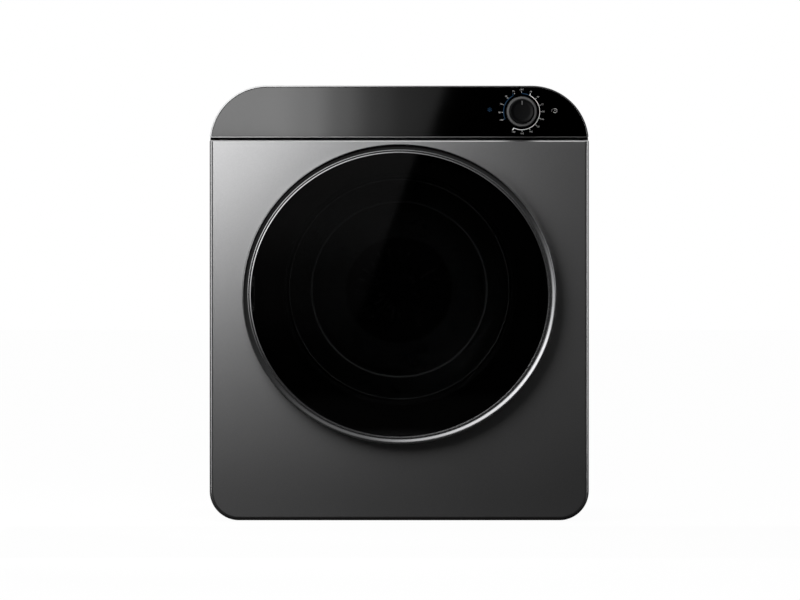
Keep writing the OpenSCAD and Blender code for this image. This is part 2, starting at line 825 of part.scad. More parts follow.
module hinge_leaf() {
    gap = 0.5;
    long = hinge_half_h - knuckle_half_h - gap;
    color("#b4b7ba") translate([0, 0, door_z]) difference() {
        union() {
            for (z = [-hinge_half_h, knuckle_half_h + gap]) {
                translate([hinge_x, hinge_y, z]) cylinder(h = long, r = knuckle_r);
                translate([hinge_x, hinge_y - 2, z]) cube([10, 4, long]);
            }
            translate([hinge_x + 8, hinge_y - 2, -hinge_half_h])
                cube([2, ring_back + 1.5 - hinge_y + 2, 2 * hinge_half_h]);
            translate([hinge_x + 8, ring_back, -hinge_half_h]) cube([22, 1.5, 2 * hinge_half_h]);
        }
        translate([hinge_x, hinge_y, -hinge_half_h - eps])
            cylinder(h = 2 * hinge_half_h + 2 * eps, r = pin_r + press_gap);
    }
}

module hinge_pin() {
    color("#d5d7d9") translate([hinge_x, hinge_y, door_z - hinge_half_h + 0.2])
        cylinder(h = 2 * hinge_half_h - 0.4, r = pin_r);
}

module strike_plate() {
    color("#c9cbcd") translate([catch_x - 12, ring_back, door_z + catch_up - 7])
        cube([24, 1.5, 14]);
}

module latch_magnet() {
    gap = 0.4;
    y = ring_back + 1.5 + gap;
    color("#3c3d3f") translate([catch_x - 11.7, y, door_z + catch_up - 5.7])
        cube([23.4, face_y + 14 - y, 11.4]);
}

module reed_switch() {
    color("#e4e2da") translate([catch_x - 8, face_y + sheet_t + seat_gap, door_z + catch_up - reed_drop])
        cube([16, 9, reed_h]);
}

// Controls

module timer_body() {
    y = face_y + insert_d + fascia_t + seat_gap;
    color("#d9d7cf") difference() {
        union() {
            translate([knob_x - timer_w / 2, y, knob_z - timer_h / 2])
                cube([timer_w, timer_d, timer_h]);
            translate([knob_x - timer_w / 2 + 4, y + timer_d, knob_z - 14])
                cube([timer_w - 8, 4, 28]);
        }
        bar_y(knob_x, knob_z, y - eps, 20, timer_shaft_r + run_gap);
    }
}

module timer_shaft() {
    front = face_y - knob_d + 3;
    color("#c9cbcd") bar_y(knob_x, knob_z, front, face_y + insert_d + fascia_t + 14 - front,
        timer_shaft_r);
}

module knob_cap() {
    front = face_y - knob_d;
    r = knob_cap_r;
    color("#151517") difference() {
        turned(knob_x, knob_z) polygon([
            [0, front + 1], [r - 4, front + 1], [r - 2.6, front], [r - 1.2, front],
            [r - 0.4, front + 1.4], [r, front + 4], [r, knob_back], [0, knob_back]]);
        bar_y(knob_x, knob_z, front + 2.8, knob_d, timer_shaft_r + press_gap);
    }
}

module knob_skirt() {
    r = knob_skirt_r;
    color("#6f6f72") turned(knob_x, knob_z) polygon([
        [knob_cap_r + 0.1, knob_back], [r, knob_back], [r, knob_back - 1.5], [r - 1.6, knob_back - 6],
        [r - 2.6, knob_back - 7], [knob_cap_r + 0.1, knob_back - 7]]);
}

// Air path

module housing_outline(inset) {
    reach = fan_r + 33 - inset;
    left = -spigot_x - spigot_r - 6 + inset;
    low = foot_h + spigot_up - spigot_r - 10 + inset;
    translate([0, drum_z]) circle(reach);
    polygon([
        [left, low], [spigot_r + 6 - spigot_x - inset, low],
        [spigot_r + 6 - spigot_x - inset, drum_z - 50], [0, drum_z - 50], [0, drum_z + reach],
        [left + 60, drum_z + reach], [left, drum_z + reach - 60]]);
}

module fan_housing() {
    color("#46484b") difference() {
        along_y(house_y + 0.1, house_d - 0.1) housing_outline(0);
        along_y(house_y - eps, house_d + eps - house_t) housing_outline(house_t);
        bar_y(0, drum_z, house_y, house_d + eps, sleeve_r + 3);
        bar_y(-spigot_x, foot_h + spigot_up, house_y, house_d + eps, spigot_r - 4);
    }
}

module exhaust_spigot() {
    z = foot_h + spigot_up;
    color("#d6d6d2") difference() {
        union() {
            bar_y(-spigot_x, z, house_end, 2, spigot_r + 4);
            bar_y(-spigot_x, z, house_end, back_y + eps - house_end, spigot_r - 1);
            bar_y(-spigot_x, z, back_y + 0.5, spigot_l - 0.5, spigot_r);
        }
        bar_y(-spigot_x, z, house_end - eps, cab_d, spigot_r - 3);
    }
}

module heater_box() {
    w = 2 * heater_half_w;
    y = house_y + 0.1;
    color("#b9bcbf") difference() {
        translate([-w / 2, y, heater_z]) cube([w, heater_y1 - y, heater_h]);
        translate([sheet_t - w / 2, y - eps, heater_z + sheet_t])
            cube([w - 2 * sheet_t, heater_y1 - y, heater_h - 2 * sheet_t]);
        for (i = [-5:5]) translate([i * (w - 30) / 11 - 5, y + 16, heater_z + heater_h - 3])
            cube([10, heater_y1 - y - 28, 6]);
    }
}

module heater_elements() {
    y = house_y + 14;
    z0 = heater_z + sheet_t + 0.1;
    color("#7a5f4a") {
        for (x = [-heater_half_w * 0.7, 0, heater_half_w * 0.7])
            translate([x - 2, y, z0]) cube([4, 34, heater_h - 2 * sheet_t - 0.2]);
        for (i = [0:4], k = [0, 1])
            translate([-heater_half_w * 0.8, y + 9 + k * 16, z0 + 12 + i * (heater_h - 26) / 4])
                rotate([0, 90, 0]) cylinder(h = heater_half_w * 1.6, r = 3);
    }
}

module thermostats() {
    color("#dcd9d0") for (x = [-60, 60])
        bar_y(x, heater_z + heater_h / 2, heater_y1 + 0.1, 7, 9);
}

// Back

module rear_panel() {
    fit = sheet_t + seat_gap;
    color("#a4a6a8") difference() {
        along_y(back_y - flange_d, flange_d) case_outline(fit);
        along_y(back_y - flange_d - eps, flange_d + eps - sheet_t) case_outline(fit + sheet_t);
        bar_y(0, drum_z, back_y - 4, 8, service_r);
        bar_y(-spigot_x, foot_h + spigot_up, back_y - 4, 8, spigot_r - 0.7);
        for (x = [-wall_x / 2, wall_x / 2], z = [-wall_z / 2, wall_z / 2])
            bar_y(x, wall_mid_z + z, back_y - 4, 8, wall_hole_r);
        bar_y(gland_x, gland_z, back_y - 4, 8, gland_r + 4);
        for (i = [-6:6]) translate([i * 20 - 4, back_y - 4, case_top - 78]) cube([8, 8, 44]);
        for (i = [1:cover_screws]) cover_screw_place(i) bar_y(0, 0, back_y - 4, 8, screw_r + 0.05);
    }
}

module cover_screw_place(i) {
    a = (i - 0.5) * 360 / cover_screws;
    translate([(service_r + 8) * cos(a), 0, drum_z + (service_r + 8) * sin(a)]) children();
}

module rear_cover() {
    r = service_r + 15;
    y = back_y + 0.1;
    color("#a4a6a8") difference() {
        turned(0, drum_z) polygon([
            [0, y + cover_d], [service_r - 14, y + cover_d], [service_r - 4, y + cover_d - 5],
            [service_r - 1, y + sheet_t], [r, y + sheet_t], [r, y], [service_r - 2.4, y],
            [service_r - 5.2, y + cover_d - 5.8], [service_r - 14.4, y + cover_d - sheet_t],
            [0, y + cover_d - sheet_t]]);
        for (i = [1:cover_screws]) cover_screw_place(i) bar_y(0, 0, y - eps, 8, screw_r + 0.05);
        for (i = [0:23]) translate([0, 0, drum_z]) rotate([0, i * 15, 0])
            translate([service_r - 70, y + cover_d - 6, -2.5]) cube([44, 12, 5]);
    }
}

module case_screws() {
    color("#d5d7d9") {
        for (i = [1:cover_screws]) cover_screw_place(i) {
            bar_y(0, 0, back_y - 4, 4 + sheet_t + 0.2, screw_r);
            bar_y(0, 0, back_y + 0.1 + sheet_t, 2, screw_head_r);
        }
        for (s = [-1, 1]) translate([0, 0, door_z + s * hinge_screw_z]) {
            bar_y(hinge_screw_x, 0, face_y - 0.5, 6, screw_r);
            bar_y(hinge_screw_x, 0, face_y - 2, 2, screw_head_r);
        }
    }
}

module shaft_bracket() {
    reach = service_r + 22;
    color("#8b8e92") difference() {
        union() {
            translate([-reach, bracket_y, drum_z - bracket_half_h])
                cube([2 * reach, 2, 2 * bracket_half_h]);
            for (s = [-1, 1]) {
                translate([s * (reach - 1) - 1, bracket_y, drum_z - bracket_half_h])
                    cube([2, back_y - sheet_t - 0.1 - bracket_y, 2 * bracket_half_h]);
                translate([s > 0 ? reach - 14 : -reach, back_y - sheet_t - 2.1,
                    drum_z - bracket_half_h]) cube([14, 2, 2 * bracket_half_h]);
            }
        }
        bar_y(0, drum_z, bracket_y - eps, 4, bearing_r + 0.05);
    }
}

module rear_bearing() {
    color("#b08d57") difference() {
        union() {
            bar_y(0, drum_z, bracket_y - 5, 13, bearing_r);
            bar_y(0, drum_z, bracket_y - 2.2, 2, bearing_r + 4);
        }
        bar_y(0, drum_z, bracket_y - 6, 16, shaft_r + run_gap);
    }
}

module capacitor() {
    r = 17;
    z = pan_top + r + 2;
    color("#c7c9cb") {
        bar_y(capacitor_x, z, motor_y0, 66, r);
        translate([capacitor_x - r, motor_y0 + 22, pan_top]) cube([2 * r, 18, r]);
    }
}

module terminal_block() {
    color("#e7e4da") translate([gland_x - 14, back_y - sheet_t - seat_gap - 21, gland_z + 24]) {
        cube([28, 18, 24]);
        translate([-5, 15, 0]) cube([38, 6, 24]);
    }
}

module cord_gland() {
    color("#1b1b1c") tube_y(gland_x, gland_z, back_y - sheet_t - 6, 10 + sheet_t, gland_r + 3.9, gland_r);
}

cabinet_wrap();
front_panel();
fascia_frame();
fascia_insert();
front_bulkhead();
drum_felt();
rear_bulkhead();
rear_seal();
base_pan();
feet();
motor_housing();
motor_bracket();
drum_belt();
fan_belt();
fan_housing();
exhaust_spigot();
heater_box();
heater_elements();
thermostats();
rear_panel();
rear_cover();
case_screws();
shaft_bracket();
rear_bearing();
timer_body();
capacitor();
terminal_block();
cord_gland();
reed_switch();
latch_magnet();
hinge_bracket();
drum_shell();
drum_front();
drum_back();
lifter_1();
lifter_2();
lifter_3();
drum_spider();
filter_cover();
filter_screen();
door_ring();
door_glass();
door_frame();
door_bowl();
door_seal();
hinge_leaf();
hinge_pin();
strike_plate();
knob_cap();
knob_skirt();
timer_shaft();
motor_rotor();
motor_pulley();
fan_drive_pulley();
fan_wheel();
fan_pulley();
idler_arm();
idler_spring();
idler_pulley();
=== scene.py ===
import json
import math

import bmesh
import bpy
from mathutils import Matrix, Vector


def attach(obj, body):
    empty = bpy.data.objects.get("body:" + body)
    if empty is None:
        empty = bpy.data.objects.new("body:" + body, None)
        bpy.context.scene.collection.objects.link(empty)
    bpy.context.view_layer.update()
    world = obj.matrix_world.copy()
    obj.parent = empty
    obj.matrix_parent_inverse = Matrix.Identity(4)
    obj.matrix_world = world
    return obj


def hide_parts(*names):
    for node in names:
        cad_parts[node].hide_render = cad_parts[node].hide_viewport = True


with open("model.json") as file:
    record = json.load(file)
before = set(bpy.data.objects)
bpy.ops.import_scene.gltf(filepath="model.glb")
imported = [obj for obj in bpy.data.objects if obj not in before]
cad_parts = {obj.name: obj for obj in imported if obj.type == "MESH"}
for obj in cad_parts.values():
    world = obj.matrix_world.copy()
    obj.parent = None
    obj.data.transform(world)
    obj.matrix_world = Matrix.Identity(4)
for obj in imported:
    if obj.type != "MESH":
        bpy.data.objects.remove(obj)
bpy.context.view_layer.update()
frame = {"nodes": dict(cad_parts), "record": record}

# Sizes and places in millimetres, in the frame of the CAD model
MM = 0.001

# Case
HALF_W = 297.5
FLOOR_GAP = 2
CASE_TOP = 684
TOP_R = 90
BOTTOM_R = 46
WRAP_RETURN = 30
FACE_Y = -221
SKIRT_Y = -199
BACK_Y = 219
SHEET = 0.8

# Front panel and control panel, with a seam between PANEL_TOP and FASCIA_Z
PANEL_TOP = 599
FASCIA_Z = 602
SEAM_R = 3
MOUTH_R = 195
RIM_W = 2.5
RIM_STEP = 0.7
RIM_FLOOR_Y = FACE_Y + 2
MOULDING_T = 2.5
INSERT_Y = -220.7
SHAFT_HOLE_R = 4

# Hinge and catch; a slot is given by half its width and half its height
HINGE_X = -235.6
HINGE_SCREW_X = HINGE_X + 21
HINGE_SCREW_RISE = 20
KNUCKLE_SLOT = (3, 13)
KNUCKLE_HALF_H = 13.5
CATCH_X = 214
CATCH_Z = 430.6
CATCH_SLOT = (12, 6)

# Door
DOOR_Z = 356.6
DOOR_RX = 245.5
DOOR_RZ = 234.5
DOOR_FRONT = -255
RING_SEAT = DOOR_FRONT + 6
RING_BACK = -226
RING_W = 12
RING_T = 2.4
GRIP_HALF_H = 44
GRIP_Y = -242.8
GLASS_Y = -249.7
GLASS_T = 4
BOWL_R = 176
BOWL_BASE_R = 139
BOWL_BASE_Y = FACE_Y + 68
BOWL_T = 4

# Drum
DRUM_Z = 364.6
DRUM_Y = -170
DRUM_END = 130
DRUM_R = 268
DRUM_T = 0.7
DRUM_RIBS = (-110, -40, 85)
DRUM_RIB_HALF_W = 7
DRUM_RIB_DEPTH = 1.6
COLLAR_R = 186
FELT_T = 4.7

# Timer knob
KNOB_X = 192
KNOB_Z = 643
KNOB_R = 19.6
KNOB_BORE_R = 3.02
KNOB_RIBS = 72
KNOB_RIB_H = 0.16
KNOB_FRONT = -241
KNOB_BACK = -221.3
SKIRT_R = 24
SKIRT_H = 6.9

# Back
REAR_SCREW_R = 158
SPIGOT_X = -145
SPIGOT_Z = 150
SPIGOT_R = 50
SPIGOT_START = 182.8
SPIGOT_END = 255
GLAND_X = -235
GLAND_Z = 64


# Outlines, as lists of points in X and Z

def arc(cx, cz, r, start, end, steps):
    """Points on an arc whose angles run anticlockwise from +X, seen from the front."""
    angles = [math.radians(start + (end - start) * i / steps) for i in range(steps + 1)]
    return [(cx + r * math.cos(a), cz + r * math.sin(a)) for a in angles]


def circle(cx, cz, r, steps=96):
    """Points round a circle, without the first one again at its end."""
    return arc(cx, cz, r, 0, 360, steps)[:-1]


def rectangle(x0, z0, x1, z1):
    return [(x0, z0), (x1, z0), (x1, z1), (x0, z1)]


def mirrored(right_half):
    """A closed outline from its right half, which runs from the bottom to the top."""
    return right_half + [(-x, z) for x, z in reversed(right_half)]


def between(x, points):
    """The value at x on straight lines through (x, value) points."""
    for (x0, v0), (x1, v1) in zip(points, points[1:]):
        if x <= x1:
            return v0 + (v1 - v0) * max(0, (x - x0) / (x1 - x0))
    return points[-1][1]


def panel_outline(inset=0):
    """The front panel; its rounded edge is narrower along its top, below the control panel."""
    low, high = max(BOTTOM_R - inset, 0.4), max(SEAM_R - inset, 0.4)
    side = HALF_W - inset
    top = PANEL_TOP - between(inset, [(0, 0), (1.6, 0), (3.3, 0.9), (5.6, 3.3), (10.5, 8)])
    right = arc(side - low, FLOOR_GAP + inset + low, low, -90, 0, 40)
    right += arc(side - high, top - high, high, 0, 90, 12)
    return mirrored(right)


def fascia_outline(inset=0):
    """The control panel; its small lower corners touch the case's large arcs, and its rim is
    narrower along the bottom."""
    small, large = max(SEAM_R - inset, 0.4), TOP_R - inset
    z = FASCIA_Z + inset - RIM_STEP * min(inset / RIM_W, 1) + small
    x = HALF_W - TOP_R + math.sqrt((large - small) ** 2 - (z - CASE_TOP + TOP_R) ** 2)
    turn = math.degrees(math.atan2(z - CASE_TOP + TOP_R, x - HALF_W + TOP_R))
    right = arc(x, z, small, -90, turn, 12)
    right += arc(HALF_W - TOP_R, CASE_TOP - TOP_R, large, turn, 90, 64)[1:]
    return mirrored(right)


def wrap_line(inset=0):
    """The case wrap's open outline, from one end of its bottom round to the other."""
    right = [(HALF_W - BOTTOM_R - WRAP_RETURN, FLOOR_GAP + inset)]
    right += arc(HALF_W - BOTTOM_R, FLOOR_GAP + BOTTOM_R, BOTTOM_R - inset, -90, 0, 40)
    right += arc(HALF_W - TOP_R, CASE_TOP - TOP_R, TOP_R - inset, 0, 90, 56)
    return mirrored(right)


def oval(inset, steps=240):
    """The door's outline, drawn in by inset."""
    turn = [2 * math.pi * i / steps for i in range(steps)]
    return [((DOOR_RX - inset) * math.cos(a), DOOR_Z + (DOOR_RZ - inset) * math.sin(a)) for a in turn]


def eased(points, closed=True, steps=4):
    """A profile whose corners are rounded where a point has a third number, its radius."""
    path, count = [], len(points)
    for i, p in enumerate(points):
        if len(p) < 3 or (not closed and i in (0, count - 1)):
            path.append(p[:2])
            continue
        here = Vector(p[:2])
        before = Vector(points[i - 1][:2]) - here
        after = Vector(points[(i + 1) % count][:2]) - here
        half = before.angle(after) / 2
        reach = min(p[2] / math.tan(half), 0.48 * before.length, 0.48 * after.length)
        a, b = here + before.normalized() * reach, here + after.normalized() * reach
        for k in range(steps + 1):
            t = k / steps
            path.append(tuple(a * (1 - t) ** 2 + here * 2 * t * (1 - t) + b * t * t))
    return path


# Mesh builders, all in millimetres

def loop_at(bm, points, y):
    """Points of X and Z set down at one Y."""
    return [bm.verts.new((x, y, z)) for x, z in points]


def bridge(bm, a, b, closed=True):
    """Quads between two rings of points, or a fan where one of them is a single point."""
    count = max(len(a), len(b))
    for i in range(count if closed else count - 1):
        j = (i + 1) % count
        corners = [a[i % len(a)], a[j % len(a)], b[j % len(b)], b[i % len(b)]]
        corners = list(dict.fromkeys(corners))
        if len(corners) > 2:
            bm.faces.new(corners)


def sheath(bm, rings):
    """Joins each ring of points to the next."""
    for a, b in zip(rings, rings[1:]):
        bridge(bm, a, b)


def tube(bm, rings, closed=True):
    """Joins each ring of points to the next and the last to the first."""
    for i, ring in enumerate(rings):
        bridge(bm, ring, rings[(i + 1) % len(rings)], closed)


def fill(bm, loops):
    """A flat face between an outer loop and the holes in it."""
    edges = []
    for loop in loops:
        for i, v in enumerate(loop):
            w = loop[(i + 1) % len(loop)]
            edges.append(bm.edges.get((v, w)) or bm.edges.new((v, w)))
    bmesh.ops.triangle_fill(bm, use_beauty=True, edges=edges)


def lathe(bm, profile, x, z, steps, wave=None):
    """A closed profile of (radius, y) turned about the Y direction; wave(angle, y) adds to the radius."""
    rings = []
    for r, y in profile:
        if r < 1e-6:
            rings.append([bm.verts.new((x, y, z))])
            continue
        ring = []
        for i in range(steps):
            a = 2 * math.pi * i / steps
            rr = r + (wave(a, y) if wave else 0)
            ring.append(bm.verts.new((x + rr * math.cos(a), y, z + rr * math.sin(a))))
        rings.append(ring)
    tube(bm, rings)


def pressed(bm, outline, profile, holes=()):
    """A pressed or moulded plate: a profile of (inset, y) round the outline, filled at both ends.
    Each hole is (points drawn out by a distance, profile of (distance, y)), front to back."""
    rings = [loop_at(bm, outline(inset), y) for inset, y in profile]
    sheath(bm, rings)
    fronts, backs = [rings[0]], [rings[-1]]
    for points, steps in holes:
        loops = [loop_at(bm, points(out), y) for out, y in steps]
        sheath(bm, loops)
        fronts.append(loops[0])
        backs.append(loops[-1])
    fill(bm, fronts)
    fill(bm, backs)


def hole_wall(y0, y1, ease):
    """A hole's wall from front to back as (distance out, y), with eased edges."""
    return [(ease * 4, y0), (ease, y0), (0, y0 + ease), (0, y1 - 0.1), (0.1, y1), (ease * 4, y1)]


def round_hole(cx, cz, r, y0, y1, ease=0.3, steps=96):
    """A round hole as pressed takes it."""
    points = lambda out: circle(cx, cz, r + out, steps)
    return points, hole_wall(y0, y1, ease)


def square_hole(cx, cz, half_w, half_h, y0, y1, ease=0.2):
    """A four-sided hole as pressed takes it."""
    points = lambda out: rectangle(cx - half_w - out, cz - half_h - out,
                                   cx + half_w + out, cz + half_h + out)
    return points, hole_wall(y0, y1, ease)


def bar(bm, points, y0, y1):
    """A flat shape in X and Z given depth along Y."""
    front, back = loop_at(bm, points, y0), loop_at(bm, points, y1)
    bm.faces.new(front)
    bm.faces.new(list(reversed(back)))
    bridge(bm, front, back)


def finished(name, bm, body, slot, replaces=(), material=None, crease=34):
    """Closes a mesh in millimetres, shades it smooth between its creases and rides it on a body.
    Its finish is its slot's own, unless a material is given."""
    bmesh.ops.remove_doubles(bm, verts=bm.verts, dist=1e-4)
    bmesh.ops.dissolve_degenerate(bm, edges=bm.edges, dist=1e-5)
    bmesh.ops.recalc_face_normals(bm, faces=bm.faces)
    for f in bm.faces:
        f.smooth = True
    for e in bm.edges:
        e.smooth = len(e.link_faces) == 2 and e.calc_face_angle(0.0) < math.radians(crease)
    bmesh.ops.scale(bm, vec=(MM, MM, MM), verts=bm.verts)
    mesh = bpy.data.meshes.new(name)
    bm.to_mesh(mesh)
    bm.free()
    mesh.materials.append(material or FINISHES[slot])
    piece = bpy.data.objects.new(name, mesh)
    bpy.context.scene.collection.objects.link(piece)
    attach(piece, body)
    if replaces:
        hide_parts(*replaces)
    return piece


# Shared shader groups

def put(tree, kind, inputs=None, **settings):
    """A new shader node with some of its sockets and settings filled in."""
    made = tree.nodes.new(kind)
    for key, value in settings.items():
        setattr(made, key, value)
    for key, value in (inputs or {}).items():
        made.inputs[key].default_value = value
    return made


def group(name, inputs, outputs):
    """An empty shader group with named sockets; its tree, input node and output node."""
    tree = bpy.data.node_groups.new(name, "ShaderNodeTree")
    for label, kind, value in inputs:
        socket = tree.interface.new_socket(name=label, in_out="INPUT", socket_type=kind)
        socket.default_value = value
    for label, kind in outputs:
        tree.interface.new_socket(name=label, in_out="OUTPUT", socket_type=kind)
    return tree, tree.nodes.new("NodeGroupInput"), tree.nodes.new("NodeGroupOutput")


FLOAT, COLOUR, VECTOR = "NodeSocketFloat", "NodeSocketColor", "NodeSocketVector"


def mottle_group():
    """Slow changes of colour and roughness over a surface."""
    tree, taken, given = group("slow_mottle", [
        ("Color", COLOUR, (0.5, 0.5, 0.5, 1)), ("Amount", FLOAT, 0.1), ("Scale", FLOAT, 8.0),
        ("Roughness", FLOAT, 0.4), ("Spread", FLOAT, 0.05)], [("Color", COLOUR), ("Roughness", FLOAT)])
    link = tree.links.new
    place = put(tree, "ShaderNodeTexCoord")
    noise = put(tree, "ShaderNodeTexNoise", {"Detail": 4.0, "Roughness": 0.55})
    swing = put(tree, "ShaderNodeMapRange", {"From Min": 0.25, "From Max": 0.75, "To Min": -1.0,
                                             "To Max": 1.0})
    shade = put(tree, "ShaderNodeMath", {2: 1.0}, operation="MULTIPLY_ADD")
    tint = put(tree, "ShaderNodeVectorMath", operation="SCALE")
    rough = put(tree, "ShaderNodeMath", operation="MULTIPLY_ADD")
    link(place.outputs["Object"], noise.inputs["Vector"])
    link(taken.outputs["Scale"], noise.inputs["Scale"])
    link(noise.outputs["Fac"], swing.inputs["Value"])
    link(swing.outputs["Result"], shade.inputs[0])
    link(taken.outputs["Amount"], shade.inputs[1])
    link(taken.outputs["Color"], tint.inputs[0])
    link(shade.outputs[0], tint.inputs["Scale"])
    link(tint.outputs["Vector"], given.inputs["Color"])
    link(swing.outputs["Result"], rough.inputs[0])
    link(taken.outputs["Spread"], rough.inputs[1])
    link(taken.outputs["Roughness"], rough.inputs[2])
    link(rough.outputs[0], given.inputs["Roughness"])
    return tree


def grain_group():
    """Fine grain, drawn out along an axis in which Stretch is small."""
    tree, taken, given = group("fine_grain", [
        ("Scale", FLOAT, 600.0), ("Stretch", VECTOR, (1, 1, 1)), ("Detail", FLOAT, 3.0)],
        [("Mask", FLOAT), ("Height", FLOAT)])
    link = tree.links.new
    place = put(tree, "ShaderNodeTexCoord")
    drawn = put(tree, "ShaderNodeVectorMath", operation="MULTIPLY")
    noise = put(tree, "ShaderNodeTexNoise", {"Roughness": 0.6})
    mask = put(tree, "ShaderNodeMapRange", {"From Min": 0.3, "From Max": 0.7})
    link(place.outputs["Object"], drawn.inputs[0])
    link(taken.outputs["Stretch"], drawn.inputs[1])
    link(drawn.outputs["Vector"], noise.inputs["Vector"])
    link(taken.outputs["Scale"], noise.inputs["Scale"])
    link(taken.outputs["Detail"], noise.inputs["Detail"])
    link(noise.outputs["Fac"], mask.inputs["Value"])
    link(mask.outputs["Result"], given.inputs["Mask"])
    link(noise.outputs["Fac"], given.inputs["Height"])
    return tree


def flake_group():
    """Metal flakes or zinc spangle: cells that each have their own brightness."""
    tree, taken, given = group("flakes", [
        ("Color", COLOUR, (0.5, 0.5, 0.5, 1)), ("Scale", FLOAT, 2500.0), ("Amount", FLOAT, 0.2)],
        [("Color", COLOUR), ("Mask", FLOAT)])
    link = tree.links.new
    place = put(tree, "ShaderNodeTexCoord")
    cells = put(tree, "ShaderNodeTexVoronoi")
    split = put(tree, "ShaderNodeSeparateColor")
    swing = put(tree, "ShaderNodeMapRange", {"To Min": -1.0})
    shade = put(tree, "ShaderNodeMath", {2: 1.0}, operation="MULTIPLY_ADD")
    tint = put(tree, "ShaderNodeVectorMath", operation="SCALE")
    link(place.outputs["Object"], cells.inputs["Vector"])
    link(taken.outputs["Scale"], cells.inputs["Scale"])
    link(cells.outputs["Color"], split.inputs["Color"])
    link(split.outputs["Red"], swing.inputs["Value"])
    link(split.outputs["Red"], given.inputs["Mask"])
    link(swing.outputs["Result"], shade.inputs[0])
    link(taken.outputs["Amount"], shade.inputs[1])
    link(taken.outputs["Color"], tint.inputs[0])
    link(shade.outputs[0], tint.inputs["Scale"])
    link(tint.outputs["Vector"], given.inputs["Color"])
    return tree


MOTTLE, GRAIN, FLAKES = mottle_group(), grain_group(), flake_group()


def surface(name, colour, rough, metallic=0.0, mottle=0.05, mottle_scale=6.0, spread=0.03,
            grain=700.0, stretch=(1, 1, 1), relief=0.05, flakes=None, **constants):
    """A material from the shared groups; constants set the shader's own sockets."""
    material = bpy.data.materials.new(name)
    material.use_nodes = True
    tree = material.node_tree
    link = tree.links.new
    shader = tree.nodes["Principled BSDF"]
    shader.inputs["Metallic"].default_value = metallic
    for key, value in constants.items():
        shader.inputs[key.replace("_", " ")].default_value = value
    slow = put(tree, "ShaderNodeGroup", node_tree=MOTTLE)
    for key, value in (("Color", (*colour, 1)), ("Amount", mottle), ("Scale", mottle_scale),
                       ("Roughness", rough), ("Spread", spread)):
        slow.inputs[key].default_value = value
    colour_from = slow.outputs["Color"]
    if flakes:
        cells = put(tree, "ShaderNodeGroup", {"Scale": 1.0}, node_tree=FLAKES)
        cells.inputs["Scale"].default_value, cells.inputs["Amount"].default_value = flakes
        link(colour_from, cells.inputs["Color"])
        colour_from = cells.outputs["Color"]
    fine = put(tree, "ShaderNodeGroup", node_tree=GRAIN)
    fine.inputs["Scale"].default_value = grain
    fine.inputs["Stretch"].default_value = stretch
    bump = put(tree, "ShaderNodeBump", {"Strength": relief, "Distance": 0.0004})
    link(colour_from, shader.inputs["Base Color"])
    link(slow.outputs["Roughness"], shader.inputs["Roughness"])
    link(fine.outputs["Height"], bump.inputs["Height"])
    link(bump.outputs["Normal"], shader.inputs["Normal"])
    return material


def titanium_paint():
    return surface("titanium_paint", (0.46, 0.46, 0.465), 0.39, metallic=1.0, mottle=0.015,
                   spread=0.004, flakes=(2600.0, 0.10), relief=0.02, Coat_Weight=0.3, Coat_Roughness=0.12)


def case_paint():
    return surface("case_paint", (0.10, 0.10, 0.103), 0.42, metallic=0.3, mottle=0.03,
                   flakes=(2200.0, 0.10), relief=0.12, Coat_Weight=0.25, Coat_Roughness=0.2)


def rim_plastic():
    return surface("rim_plastic", (0.44, 0.44, 0.445), 0.32, metallic=1.0, mottle=0.02,
                   spread=0.01, relief=0.02, Coat_Weight=0.3, Coat_Roughness=0.12)


def black_gloss():
    return surface("black_gloss", (0.0025, 0.0025, 0.003), 0.035, mottle=0.2, spread=0.01,
                   relief=0.004, IOR=1.5)


def galvanised():
    return surface("galvanised", (0.50, 0.51, 0.52), 0.36, metallic=0.9, mottle=0.04, mottle_scale=14.0,
                   spread=0.04, flakes=(95.0, 0.10), relief=0.06)


def felt():
    return surface("felt", (0.36, 0.32, 0.26), 0.95, mottle=0.18, mottle_scale=60.0, grain=1800.0,
                   relief=0.9, Sheen_Weight=0.5, Sheen_Roughness=0.6)


def black_rubber():
    return surface("black_rubber", (0.018, 0.018, 0.018), 0.62, mottle=0.15, mottle_scale=30.0,
                   spread=0.08, grain=1400.0, relief=0.25)


def motor_metal():
    return surface("motor_metal", (0.33, 0.34, 0.36), 0.5, metallic=0.85, mottle=0.12, mottle_scale=40.0,
                   spread=0.08, grain=900.0, relief=0.35)


def bright_steel():
    return surface("bright_steel", (0.62, 0.62, 0.63), 0.26, metallic=1.0, mottle=0.05, mottle_scale=25.0,
                   spread=0.06, grain=2400.0, stretch=(1, 0.05, 1), relief=0.08)


def drum_steel():
    return surface("drum_steel", (0.56, 0.56, 0.57), 0.30, metallic=1.0, mottle=0.05, spread=0.05,
                   grain=1500.0, stretch=(1, 0.02, 1), relief=0.10)


def heater_metal():
    return surface("heater_metal", (0.26, 0.19, 0.15), 0.45, metallic=0.9, mottle=0.3, mottle_scale=35.0,
                   spread=0.1, relief=0.2)


def pale_plastic():
    return surface("pale_plastic", (0.74, 0.72, 0.66), 0.5, mottle=0.03, grain=1200.0, relief=0.15)


def dark_plastic():
    return surface("dark_plastic", (0.022, 0.022, 0.024), 0.48, mottle=0.10, grain=1300.0, relief=0.3)


def grey_plastic():
    return surface("grey_plastic", (0.13, 0.135, 0.14), 0.42, mottle=0.05, grain=1300.0, relief=0.22)


def vent_plastic():
    return surface("vent_plastic", (0.66, 0.66, 0.64), 0.45, mottle=0.04, grain=1300.0, relief=0.2)


def bronze():
    return surface("bronze", (0.48, 0.34, 0.16), 0.42, metallic=1.0, mottle=0.15, mottle_scale=90.0,
                   flakes=(3000.0, 0.2), relief=0.3)


def door_chrome():
    return surface("door_chrome", (0.60, 0.60, 0.61), 0.24, metallic=1.0, mottle=0.02, spread=0.015,
                   relief=0.01)


def knob_black():
    return surface("knob_black", (0.003, 0.003, 0.0035), 0.45, mottle=0.08, grain=1500.0, relief=0.12,
                   Specular_IOR_Level=0.25)


